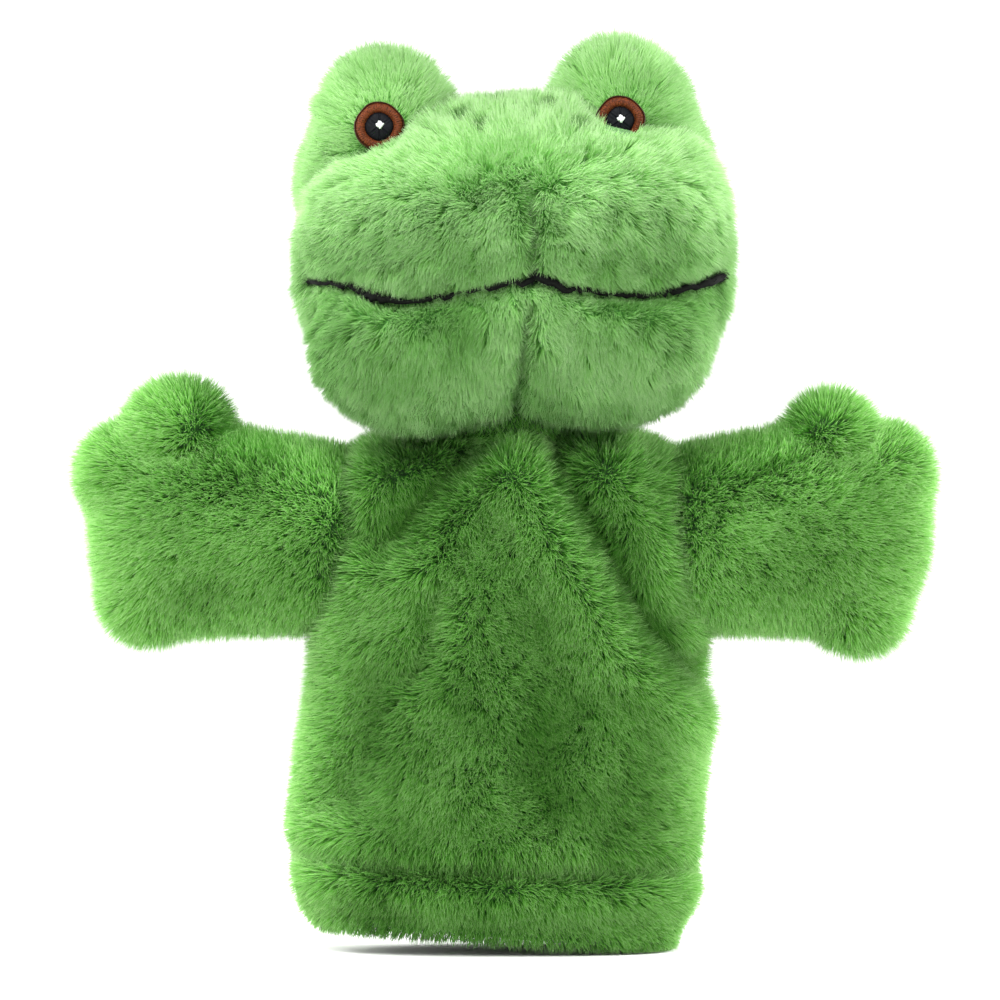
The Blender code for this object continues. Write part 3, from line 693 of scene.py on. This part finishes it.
def shapeHead(skin):
    h = head
    mouth, lip, chin = seamDistances(pointsOf(skin))
    nearest = np.minimum(mouth, np.minimum(lip, chin))
    points = pointsOf(skin)
    bottom = np.linalg.norm(points[:, :2] - (0, 3), axis=1) < h["neckRoom"]
    held = np.maximum(1 - smoothStep(nearest, 2, 6), np.where(bottom & (points[:, 2] < 165), 1, 0))
    puffed(skin, held, h["pressure"], h["cap"])
    subdivided(skin)
    points = pointsOf(skin)
    normals = normalsOf(skin)
    for seam, distance in zip(("mouth", "lip", "chin"), seamDistances(points)):
        edge = 1 - 0.7 * smoothStep(np.abs(points[:, 0]), 42, 55)
        depth = h[f"{seam}Depth"] * edge * np.exp(-(distance / h[f"{seam}Width"]) ** 2)
        points -= normals * depth[:, None]
    # a hollow that the neck goes up into
    out = np.linalg.norm(points[:, :2] - (0, 3), axis=1) / h["neckRoom"]
    rise = np.sqrt(np.clip(1 - out ** 2, 0, 1)) * h["neckRise"]
    points[:, 2] += np.where(points[:, 2] < 165, rise, 0)
    movePoints(skin, points)


def eyeDistances(points):        # from each eye's middle, seen from the front
    distances = []
    for side in ("left", "right"):
        away = np.linalg.norm(points[:, [0, 2]] - eyes[side]["eye"], axis=1)
        distances.append(away + smoothStep(points[:, 1], 0, 8) * 30)
    return distances


def combHead(skin):
    points = pointsOf(skin)
    mouth, lip, chin = seamDistances(points)
    x, y, z = points.T
    face = 1 - smoothStep(y, -20, 5)
    turned = 0.25 + 2.3 * smoothStep(z, 210, 244)        # from down at the lips, outwards, to up at the crown
    sideways = np.tanh((x - head["partX"]) / (6 + 24 * smoothStep(z, 208, 224))) * np.sin(turned)
    front = np.stack([sideways, -0.35 * np.cos(turned), -np.cos(turned)], axis=1)
    back = np.stack([x * 0.006, 0 * x, -1 + 0 * x], axis=1)
    direction = front * face[:, None] + back * (1 - face[:, None])
    reach = 0.4 + 0.6 * smoothStep(mouth, 1, 9)
    reach *= 0.7 + 0.3 * smoothStep(np.minimum(lip, chin), 1, 5)
    fan = np.exp(-(np.minimum(lip, chin) / 9) ** 2) * np.sign(x - head["partX"]) * 0.12
    direction[:, 0] += fan
    cover = np.ones(len(points))
    for away in eyeDistances(points):
        reach *= 0.5 + 0.5 * smoothStep(away, 8, 16)
        cover *= smoothStep(away, 6.2, 7.6)
    atNeck = np.linalg.norm(points[:, :2] - (0, 3), axis=1) < head["bareNeck"]
    cover *= np.where(atNeck & (z < 180), 0, 1)
    spots = np.min([np.linalg.norm(points[:, [0, 2]] - spot, axis=1) for spot in head["specks"]], axis=0)
    speck = (1 - smoothStep(spots, 0.4, head["speckSize"])) * face
    # painted light: the coat drawn lighter towards the top of the head, for the light from above, and lighter
    # on its back; the specks are the coat's own colour
    tone = 0.32 + 0.63 * smoothStep(z, 196, 224) + 0.4 * (1 - face)
    tone = np.where(speck > 0.25, -0.3, tone)
    combed(skin, direction, cover, reach, tone)


def headPanelOf(centres):        # the panel that each face of the head belongs to
    h = head
    x, y, z = centres.T
    path = smoothPath(h["mouth"], 8)
    mouthHeight = np.interp(x, path[:, 0], path[:, 1])
    chins = np.where(x < h["chinCrease"][0][0], "rightChin", "leftChin")
    backs = np.where(x < h["shiftX"], "rightHeadBack", "leftHeadBack")
    names = np.where(z > mouthHeight, "upperFace", chins)
    names = np.where(y > h["panelMeetY"], backs, names)
    away = np.linalg.norm(centres[:, :2] - (0, 3), axis=1)
    return np.where((away < h["neckRoom"]) & (z < h["baseTop"]), "headBase", names), away


headPanels = {        # the CAD node that each panel stands for, and the cloth's cut size in metres
    "upperFace": ("upper_face_panel", (0.155, 0.120)),
    "rightChin": ("right_chin_panel", (0.080, 0.070)), "leftChin": ("left_chin_panel", (0.080, 0.070)),
    "rightHeadBack": ("right_head_back_panel", (0.085, 0.130)),
    "leftHeadBack": ("left_head_back_panel", (0.085, 0.130)),
    "headBase": ("head_base_panel", (0.075, 0.075)),
}


def area(obj):        # in square metres
    return sum(p.area for p in obj.data.polygons)


def settle(piece, body, node=None):        # its CAD node and its body
    if node:
        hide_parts(node)
    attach(piece, body)


def dressSheet(piece, node, body, others=()):        # a cloth panel and its pile
    settle(piece, body, node)
    for other in others:
        settle(other, body)


def plushPanel(piece, pile, look, backing):        # its pile, then its own thickness
    fur = growPile(piece, f"{piece.name}Pile", look, pile)
    print(f"{piece.name}: cut area {area(piece):.5f}")
    piece.data.materials.clear()
    piece.data.materials.append(backing)
    thickened(piece, head["cloth"])
    return fur


def stuff(skin, name, node, inset, material):        # the fibre that fills a skin
    obj = bpy.data.objects.new(name, skin.data.copy())
    scene.collection.objects.link(obj)
    movePoints(obj, pointsOf(skin) - normalsOf(skin) * inset)
    obj.data.materials.clear()
    obj.data.materials.append(material)
    settle(obj, "head", node)


def makeHead(looks):
    skin = headSkin()
    shapeHead(skin)
    combHead(skin)
    surface = treeOver(skin)
    stuff(skin, "headStuffing", "head_stuffing", head["stuffingInset"], looks["stuffing"])
    names, away = headPanelOf(faceCentres(skin))
    for name, (node, flat) in headPanels.items():
        chosen = (names == name) & ((away > head["fingerHole"]) | (name != "headBase"))
        piece = splitOff(skin, name, chosen)
        fur = plushPanel(piece, looks["headPlush"], headPile, looks["headBacking"])
        dressSheet(piece, node, "head", [fur])
    remove(skin)
    for side in ("left", "right"):
        makeMound(side, looks)
        makeEye(side, looks)
    makeMouth(surface, looks)
    makeDimples(surface, looks)
    print("head made")


def makeMound(side, looks):
    e = eyes[side]
    parts = [ellipsoid(e["mound"], e["size"], 40, 24), ellipsoid(*e["base"], 40, 24)]
    skin = fused(f"{side}Mound", parts, eyes["voxel"], eyes["smoothing"])
    points = pointsOf(skin)
    _, y, z = points.T
    centre = np.array(e["mound"])
    away = np.linalg.norm(points[:, [0, 2]] - e["eye"], axis=1) + smoothStep(y, 0, 8) * 30
    outwards = points - np.array((e["eye"][0], points[:, 1].min(), e["eye"][1]))
    outwards /= np.linalg.norm(outwards, axis=1, keepdims=True)
    cover = smoothStep(away, 6.0, 7.6)
    reach = (0.42 + 0.58 * smoothStep(away, 7.5, 15)) * (0.75 + 0.25 * smoothStep(z, 225, 240))
    behind = smoothStep(y, 0, 10)[:, None]
    direction = (outwards * 0.8 + (0, 0, 0.25)) * (1 - behind) + np.array((0, 0, -1)) * behind
    combed(skin, direction, cover, reach, 0.62 + 0.25 * behind[:, 0])
    stuff(skin, f"{side}MoundStuffing", f"{side}_eye_mound_stuffing", eyes["stuffingInset"],
          looks["stuffing"])
    centres = faceCentres(skin)
    above = centres[:, 2] > e["base"][0][2] - e["base"][1][2] * 0.6
    for part, chosen in (("Front", centres[:, 1] < centre[1]), ("Back", centres[:, 1] >= centre[1])):
        piece = splitOff(skin, f"{side}Mound{part}", chosen & above)
        fur = plushPanel(piece, looks["headPlush"], headPile, looks["headBacking"])
        dressSheet(piece, f"{side}_eye_mound_{part.lower()}", "head",
                   [fur])
    remove(skin)


def stitchedDisc(name, place, inner, outer, ridges, radial, material, rough=0.0):
    # a low dome of satin stitch: its top shows each thread as a ridge, radial or straight across
    steps = eyes["steps"]
    rows = 7
    rim = []
    for angle in np.linspace(0, 2 * math.pi, steps, endpoint=False):
        uneven = 1 + rough * math.sin(4 * angle + 1) + rough * 0.4 * math.sin(7 * angle)
        column = []
        for share in np.linspace(0, 1, rows):
            radius = (inner + (outer - inner) * share) * uneven
            x = radius * math.cos(angle)
            z = radius * math.sin(angle)
            ridge = abs(math.sin(angle * ridges / 2)) if radial else abs(math.sin(math.pi * x / ridges))
            edge = math.sqrt(max(0, 1 - (2 * share - 1) ** 2)) if inner > 0.1 else math.sqrt(1 - share ** 2)
            column.append((place[0] + x, place[1] - eyes["dome"] * edge - eyes["ridge"] * ridge * edge,
                           place[2] + z))
        column.append((place[0] + x, place[1] + eyes["thickness"], place[2] + z))
        column.append((place[0] + inner * math.cos(angle), place[1] + eyes["thickness"],
                       place[2] + inner * math.sin(angle)))
        rim.append(column)
    rings = np.array(rim)
    points = rings.reshape(-1, 3)
    faces = gridFaces(steps, rows + 2, True)
    last = (steps - 1) * (rows + 2)
    faces += [(last + i, i, (i + 1) % (rows + 2), last + (i + 1) % (rows + 2)) for i in range(rows + 2)]
    obj = newObject(name, points, faces, material)
    cleaned(obj, 0.005, 0.002)
    obj.data.shade_smooth()
    return obj


def makeEye(side, looks):
    e = eyes[side]
    x, z = e["eye"]
    front = e["mound"][1] - e["size"][1] * math.sqrt(1 - ((z - e["mound"][2]) / e["size"][2]) ** 2)
    y = front - eyes["raised"]
    iris = eyes["irisRadius"]
    pupil = eyes["pupilRadius"]
    stitches = eyes["stitches"]
    pieces = (        # name, inner and outer radius, stitches, radial, look, node, set back, uneven rim
        ("Iris", pupil, iris, stitches, True, "irisThread", "iris", 0, 0.015),
        ("IrisOutline", iris - 0.1, iris + eyes["outline"], stitches, True, "outlineThread", "iris",
         0.5, 0.02),
        ("Pupil", 0, pupil + 0.2, 0.55, False, "pupilThread", "pupil", 0.1, 0.02),
        ("Highlight", 0, eyes["highlightRadius"], 0.5, False, "highlightThread", "eye_highlight", -0.9, 0.16),
    )
    for part, inner, outer, ridges, radial, look, node, back, rough in pieces:
        place = (x + (0.2 if part == "Highlight" else 0), y + back, z + (0.5 if part == "Highlight" else 0))
        disc = stitchedDisc(f"{side}{part}", place, inner, outer, ridges, radial, looks[look], rough)
        settle(disc, "head", f"{side}_{node}")


yarn = {        # the line is thick and lies on the pile in three stretches: middle, half length
    "radius": 0.6, "thicker": 0.45, "sides": 8, "raised": 2.4, "higher": 1.6,
    "stretches": ((-36, 9), (9, 11), (53, 9)),
}
yarnFuzz = dict(headPile, **{
    "Density": 4e6, "Length": 1.4 * mm, "Width": 0.14 * mm, "Upright": 0.9, "Lay": 0.0, "Swirl": 0.5,
    "Clump size": 2 * mm, "Clump gather": 0.2, "Stray": 0.9,
})


def tube(name, path, radii, sides, material):
    path = np.asarray(path, float)
    ahead = np.gradient(path, axis=0)
    ahead /= np.linalg.norm(ahead, axis=1, keepdims=True)
    rings = []
    for point, forward, radius in zip(path, ahead, radii):
        across = np.cross(forward, (0, 1, 0.05))
        across /= np.linalg.norm(across)
        up = np.cross(across, forward)
        angles = np.linspace(0, 2 * math.pi, sides, endpoint=False)
        rings.append([point + radius * (math.cos(a) * across + math.sin(a) * up) for a in angles])
    obj = newObject(name, *loft(np.array(rings)), material)
    cleaned(obj)
    return obj


def onSkin(surface, flatPath, raised):
    hits = [onFront(surface, x, z) for x, z in flatPath]
    return np.array([place for place, _ in hits]) + np.array([normal for _, normal in hits]) * raised


def makeMouth(surface, looks):
    flatPath = smoothPath(head["mouth"], 14)
    share = np.linspace(0, 1, len(flatPath))
    thick = sum(np.exp(-((flatPath[:, 0] - middle) / half) ** 2) for middle, half in yarn["stretches"])
    path = onSkin(surface, flatPath, (yarn["raised"] + yarn["higher"] * thick)[:, None])
    radii = yarn["radius"] * (1 + 0.22 * np.sin(share * 61) + 0.16 * np.sin(share * 143 + 1))
    radii += yarn["thicker"] * thick
    line = tube("mouthLine", path, radii, yarn["sides"], looks["mouthYarn"])
    combed(line, (0, 0, -1))
    fuzz = growPile(line, "mouthFuzz", yarnFuzz, looks["mouthYarn"])
    settle(line, "head", "mouth_line")
    settle(fuzz, "head")


def makeDimples(surface, looks):
    for name, node, flatPath in (("lipDimpleStitch", "lip_dimple_stitch", head["lipCrease"]),
                                 ("chinDimpleStitch", "chin_dimple_stitch", head["chinCrease"])):
        path = onSkin(surface, smoothPath(flatPath, 6), 0.5)
        stitch = tube(name, path, np.full(len(path), 0.4), 6, looks["seamThread"])
        settle(stitch, "head", node)


sleeve = {
    # height, half width, half depth, centre X, centre Y
    "sections": ((7, 50, 23, -4.3, 0), (23, 52.5, 26, -4.2, 0), (42, 52.9, 27.5, -3.8, 0),
                 (60, 52.4, 28.5, -1.8, 0), (80, 51.5, 28.5, 0, 0), (100, 50, 28, 0.3, 0),
                 (115, 49.5, 27, 0.3, 0.5), (128, 49, 25.5, 0, 1), (135, 48, 24.5, 0, 1),
                 (139.5, 43, 23, 0, 2), (143, 34, 22, 0, 3), (146, 24.5, 20.5, 0, 3),
                 (149, 19.5, 19.5, 0, 3)),
    "power": 2.3, "columns": 72, "rows": 84, "hemSlope": -0.08, "turnUp": 20, "turnUpInset": 3.2,
    # furrows seen from the front: path, depth, width
    "folds": ((((10, 147), (25, 118), (38, 96), (53, 79)), 8, 6),
              (((-8, 144), (-24, 130), (-33, 118)), 5, 6),
              (((-19, 104), (-21, 92), (-25, 80)), 3, 3.5), (((7, 96), (13, 74), (9, 50)), 2.5, 9),
              (((-34, 78), (-40, 60), (-44, 46)), 2.5, 7), (((-44, 141), (-45, 113), (-53, 97)), 3, 3),
              (((49, 142), (45, 122), (47, 98)), 3, 3),
              (((-60, 29), (-20, 25.5), (20, 25), (60, 24)), 3, 3.5)),
    # foldPaintedShade: painted shade, how much darker the pile is drawn in the furrows; foldLength: how much
    # shorter it is there
    "foldPaintedShade": 0.4, "foldLength": 0.2,
    "liningGap": 1.6, "liningTop": 141, "liningCloth": 0.5, "hemFold": 2.2, "aboveTable": 0.3,
    "armhole": {"height": 118, "halfHeight": 19, "halfDepth": 13.5, "from": 40},
}


def roundedSections():        # the sections drawn out as smooth curves over height
    path = smoothPath(sleeve["sections"], 10)
    return path[np.argsort(path[:, 0])]


def sleeveGrid(inset=0.0, low=None, high=None, rows=None):        # points round the sleeve, row by row
    s = sleeve
    sections = roundedSections()
    low = sections[0, 0] if low is None else low
    high = sections[-1, 0] if high is None else high
    angles = np.linspace(0, 2 * math.pi, s["columns"], endpoint=False)
    grid = []
    for height in np.linspace(low, high, rows or s["rows"]):
        halfWidth, halfDepth, centreX, centreY = [np.interp(height, sections[:, 0], sections[:, i])
                                                  for i in range(1, 5)]
        x, y = superellipse(halfWidth - inset, halfDepth - inset, s["power"], angles)
        slope = s["hemSlope"] * x * (1 - smoothStep(height, low, 60))
        grid.append(np.stack([x + centreX, y + centreY, height + slope], axis=1))
    return np.array(grid)


def inArmhole(points, less):        # the oval opening on each side that leads into the arm
    hole = sleeve["armhole"]
    x, y, z = points.T
    sideways = y / (hole["halfDepth"] - less)
    upwards = (z - hole["height"]) / (hole["halfHeight"] - less)
    return (sideways ** 2 + upwards ** 2 < 1) & (np.abs(x) > hole["from"])


def foldDepths(points):        # below the smooth sleeve in furrows, above it on the ridges beside them
    depths = np.zeros(len(points))
    for path, depth, width in sleeve["folds"]:
        away = distanceToPath(points[:, [0, 2]], smoothPath(path, 6))
        furrow = np.exp(-(away / width) ** 2) - 0.35 * np.exp(-((away - 2 * width) / width) ** 2)
        depths += depth * furrow
    return depths * (1 - smoothStep(points[:, 1], -8, 6))


def foldSleeve(points, normals, depthShare=1.0):
    return points - normals * (foldDepths(points) * depthShare)[:, None]


def makeSleeve(looks):
    s = sleeve
    outer = sleeveGrid()
    bottom = s["sections"][0][0]
    insideHem = sleeveGrid(s["turnUpInset"], bottom + 1, bottom + s["turnUp"], 12)
    fold = (outer[0] + insideHem[0]) / 2 - (0, 0, s["hemFold"])
    grid = np.concatenate([insideHem[::-1], fold[None], outer])
    points, faces = grid.reshape(-1, 3), gridFaces(len(grid), s["columns"], True)
    skin = newObject("sleeveSkin", points, faces)
    movePoints(skin, foldSleeve(points, normalsOf(skin)))
    points = pointsOf(skin)
    rowNumber = np.repeat(np.arange(len(grid)), s["columns"])
    inside = rowNumber < len(insideHem)
    x, _, z = points.T
    direction = np.stack([x * 0.006, 0 * x, -1 + 0 * x], axis=1)
    reach = np.where(inside, 0.5, 1.0) * (0.45 + 0.55 * smoothStep(z, 4, 20))
    furrow = np.clip(foldDepths(grid.reshape(-1, 3)) / 4, -1, 1)
    reach *= 1 - s["foldLength"] * np.maximum(furrow, 0)
    # painted light and shade: the pile drawn lighter towards the sides, and darker in the furrows
    tone = 0.5 + 0.55 * smoothStep(np.abs(x), 36, 52) - s["foldPaintedShade"] * furrow
    tone = np.maximum(tone, 0.05)
    combed(skin, direction, np.where(inside, 0.35, 1.0), reach, tone)
    centres = faceCentres(skin)
    rows = np.repeat(np.arange(len(grid) - 1), s["columns"])
    armhole = inArmhole(centres, 0) & (rows > len(insideHem))
    for part, chosen in (("Front", centres[:, 1] < 0), ("Back", centres[:, 1] >= 0)):
        piece = splitOff(skin, f"body{part}", chosen & ~armhole)
        look = bodyPile if part == "Front" else dict(bodyPile, Density=8e6)
        fur = plushPanel(piece, looks["bodyPlush"], look, looks["bodyBacking"])
        points = pointsOf(fur)
        points[:, 2] = np.maximum(points[:, 2], s["aboveTable"])        # fibres bend on the table
        movePoints(fur, points)
        dressSheet(piece, f"body_{part.lower()}_panel", "sleeve",
                   [fur])
    remove(skin)
    makeLining(looks)
    makeHemStitches(looks)
    makeCollar(looks)
    print("sleeve made")


def makeLining(looks):
    s = sleeve
    low = s["sections"][0][0] + s["turnUp"] - 4        # it starts a little inside the turned-up hem
    grid = sleeveGrid(s["turnUpInset"] + s["liningGap"], low, s["liningTop"], 60)
    points = grid.reshape(-1, 3)
    skin = newObject("liningSkin", points, gridFaces(len(grid), s["columns"], True), looks["lining"])
    movePoints(skin, foldSleeve(points, normalsOf(skin), 0.9))
    centres = faceCentres(skin)
    armhole = inArmhole(centres, 1)
    for part, chosen in (("Front", centres[:, 1] < 0), ("Back", centres[:, 1] >= 0)):
        piece = splitOff(skin, f"lining{part}", chosen & ~armhole)
        thickened(piece, s["liningCloth"])
        dressSheet(piece, f"{part.lower()}_lining", "sleeve")
    remove(skin)


stitch = {"spacing": 4.0, "length": 2.6, "radius": 0.35, "height": 21, "raised": 0.2}


def makeStitchTree():        # short stitches set along a curve
    tree = bpy.data.node_groups.new("running stitch", "GeometryNodeTree")
    for name, kind in (("Geometry", "Geometry"), ("Finish", "Material"), ("Spacing", "Float"),
                       ("Length", "Float"), ("Radius", "Float")):
        tree.interface.new_socket(name, in_out="INPUT", socket_type=f"NodeSocket{kind}")
    tree.interface.new_socket("Geometry", in_out="OUTPUT", socket_type="NodeSocketGeometry")
    add = functools.partial(addNode, tree)
    given = add("NodeGroupInput").outputs
    path = add("GeometryNodeMeshToCurve", {"Mesh": given["Geometry"]})
    spots = add("GeometryNodeCurveToPoints", {"Curve": path, "Length": given["Spacing"]}, mode="LENGTH")
    bar = add("GeometryNodeMeshCylinder",
              {"Vertices": 6, "Radius": given["Radius"], "Depth": given["Length"]})
    flow = add("GeometryNodeInstanceOnPoints",
               {"Points": spots.outputs["Points"], "Instance": bar.outputs["Mesh"],
                "Rotation": spots.outputs["Rotation"]})
    flow = add("GeometryNodeRealizeInstances", {"Geometry": flow})
    flow = add("GeometryNodeSetMaterial", {"Geometry": flow, "Material": given["Finish"]})
    add("NodeGroupOutput", {"Geometry": flow})
    return tree


def makeHemStitches(looks):
    grid = sleeveGrid(-stitch["raised"], stitch["height"], stitch["height"] + 1, 2)
    ring = foldSleeve(grid[0], np.zeros_like(grid[0]))
    count = len(ring)
    obj = newObject("hemStitching", ring, [], edges=[(i, (i + 1) % count) for i in range(count)])
    useTree(obj, makeStitchTree(), {
        "Finish": looks["seamThread"], "Spacing": stitch["spacing"] * mm, "Length": stitch["length"] * mm,
        "Radius": stitch["radius"] * mm})
    settle(obj, "sleeve", "hem_stitching")


collar = {
    "pivot": (0, 3, 156), "radius": 21.5, "lowest": -28, "highest": 32, "columns": 48, "rows": 9,
    "gathers": 16, "gatherDepth": 0.5,
}


def makeCollar(looks):        # the gathered plush of the neck, which turns with the head
    c = collar
    centreX, centreY, centreZ = c["pivot"]
    rings = []
    for latitude in np.radians(np.linspace(c["lowest"], c["highest"], c["rows"])):
        angles = np.linspace(0, 2 * math.pi, c["columns"], endpoint=False)
        radius = (c["radius"] + c["gatherDepth"] * np.cos(angles * c["gathers"])) * math.cos(latitude)
        height = centreZ + c["radius"] * math.sin(latitude)
        rings.append(np.stack([centreX + radius * np.cos(angles), centreY + radius * np.sin(angles),
                               np.full(len(angles), height)], axis=1))
    skin = newObject("neckCollar", np.array(rings).reshape(-1, 3), gridFaces(c["rows"], c["columns"], True))
    combed(skin, (0, 0, -1))
    look = dict(bodyPile, Length=5 * mm, Density=7e6)
    fur = plushPanel(skin, looks["bodyPlush"], look, looks["bodyBacking"])
    dressSheet(skin, "neck_collar", "neck_collar", [fur])


arms = {
    # distance from the middle, lowest, highest, half depth
    "sections": ((43, 99, 140, 11), (49, 97, 141, 15), (58, 96, 142, 16), (70, 96, 144, 15.5),
                 (82, 95.5, 146, 15), (94, 95, 146, 14), (104, 97, 144, 13), (111, 103, 142, 10),
                 (115, 112, 137, 7)),
    "power": 2.2, "steps": 40, "voxel": 2.6, "smoothing": 5, "split": 65, "openEnd": 43.6,
    "blendOne": (50, 62), "blendTwo": (68, 88),
    "lobes": {        # centre and size: upper, outer and lower lobe of each paw
        "left": (((92, -2, 147), (10, 10, 10)), ((107.5, -1, 137), (10, 10, 11)),
                 ((100, 0, 99.5), (10.5, 10.5, 11))),
        "right": (((-95, -2, 149), (12, 10.5, 11.5)), ((-110, -1, 137), (10.5, 10.5, 11)),
                  ((-103, 0, 103), (11.5, 10.5, 11.5))),
    },
    "pressure": 3, "cap": 3, "pivotHeight": 118,
}


def armSkin(side, sign):
    a = arms
    angles = np.linspace(0, 2 * math.pi, a["steps"], endpoint=False)
    rings = []
    for x, low, high, halfDepth in smoothPath(a["sections"], 3):
        y, z = superellipse(halfDepth, (high - low) / 2, a["power"], angles)
        rings.append(np.stack([np.full(len(y), sign * x), y, (low + high) / 2 + z], axis=1))
    parts = [loft(np.array(rings))] + [ellipsoid(*lobe, 24, 14) for lobe in a["lobes"][side]]
    skin = fused(f"{side}ArmSkin", parts, a["voxel"], a["smoothing"])
    points = pointsOf(skin)
    held = 1 - smoothStep(np.abs(points[:, 1]), 1.5, 4)        # the seam round the edge holds
    held = np.maximum(held, 1 - smoothStep(np.abs(points[:, 0]), 50, 56))
    puffed(skin, held, a["pressure"], a["cap"])
    work = bmesh.new()
    work.from_mesh(skin.data)
    bmesh.ops.bisect_plane(work, geom=work.verts[:] + work.edges[:] + work.faces[:],
                           plane_co=(sign * a["split"] * mm, 0, 0), plane_no=(1, 0, 0))
    work.to_mesh(skin.data)
    work.free()
    return skin


def makeArm(side, sign, looks):
    a = arms
    skin = armSkin(side, sign)
    points = pointsOf(skin)
    x, y, z = points.T
    away = np.abs(x)
    paw = smoothStep(away, 84, 106)
    drop = -0.65 + 0.014 * (z - a["pivotHeight"]) * paw        # the paw's fibres fan out
    direction = np.stack([sign * (0.75 + 0.5 * paw), 0 * x, drop], axis=1)
    reach = 0.9 * (0.8 + 0.2 * smoothStep(away, 46, 56))
    cover = smoothStep(away, 44, 47)
    # painted light and shade: the arms' pile drawn lighter than the body's, less so on their front, and
    # darker next to the shoulder seam
    tone = 1.4 - 0.5 * smoothStep(-y, 4, 13) - 0.9 * (1 - smoothStep(away, 45, 50))
    combed(skin, direction, cover, reach, np.maximum(tone, 0.05))
    centres = faceCentres(skin)
    outer = np.abs(centres[:, 0]) > a["split"]
    opening = np.abs(centres[:, 0]) < a["openEnd"]
    front = centres[:, 1] < 0
    inner = ("sleeve", f"{side}_shoulder")
    outerBodies = (f"{side}_shoulder", f"{side}_arm")
    parts = (        # name, faces, node, flat size, blend, bodies, density of the pile
        ("Shoulder", ~outer & ~opening, "shoulder_panel", (0.130, 0.028), "blendOne", inner, 8e6),
        ("ArmFront", outer & front, "arm_front_panel", (0.066, 0.072), "blendTwo", outerBodies, 9.4e6),
        ("ArmBack", outer & ~front, "arm_back_panel", (0.066, 0.072), "blendTwo", outerBodies, 8e6))
    for part, chosen, node, flat, span, bodies, density in parts:
        piece = splitOff(skin, f"{side}{part}", chosen)
        look = dict(bodyPile, Density=density)
        fur = plushPanel(piece, looks["bodyPlush"], look, looks["bodyBacking"])
        for each in (piece, fur):
            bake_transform(each)
        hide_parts(f"{side}_{node}")
    remove(skin)
    print(f"{side} arm made")


def finishInside(looks):        # the pieces inside that are kept from the frame
    for node, look in (("finger_stall", "lining"), ("neck_gather_ring", "seamThread")):
        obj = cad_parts[node]
        obj = bpy.data.objects[obj] if isinstance(obj, str) else obj
        for place in range(max(1, len(obj.material_slots))):
            if obj.material_slots:
                obj.material_slots[place].material = looks[look]
            else:
                obj.data.materials.append(looks[look])


makeStudio()
looks = makeMaterials()
blade = makeBlade()
pileTree = makePileTree()
makeSleeve(looks)
for side, sign in (("left", 1), ("right", -1)):
    makeArm(side, sign, looks)
makeHead(looks)
finishInside(looks)
remove(blade)
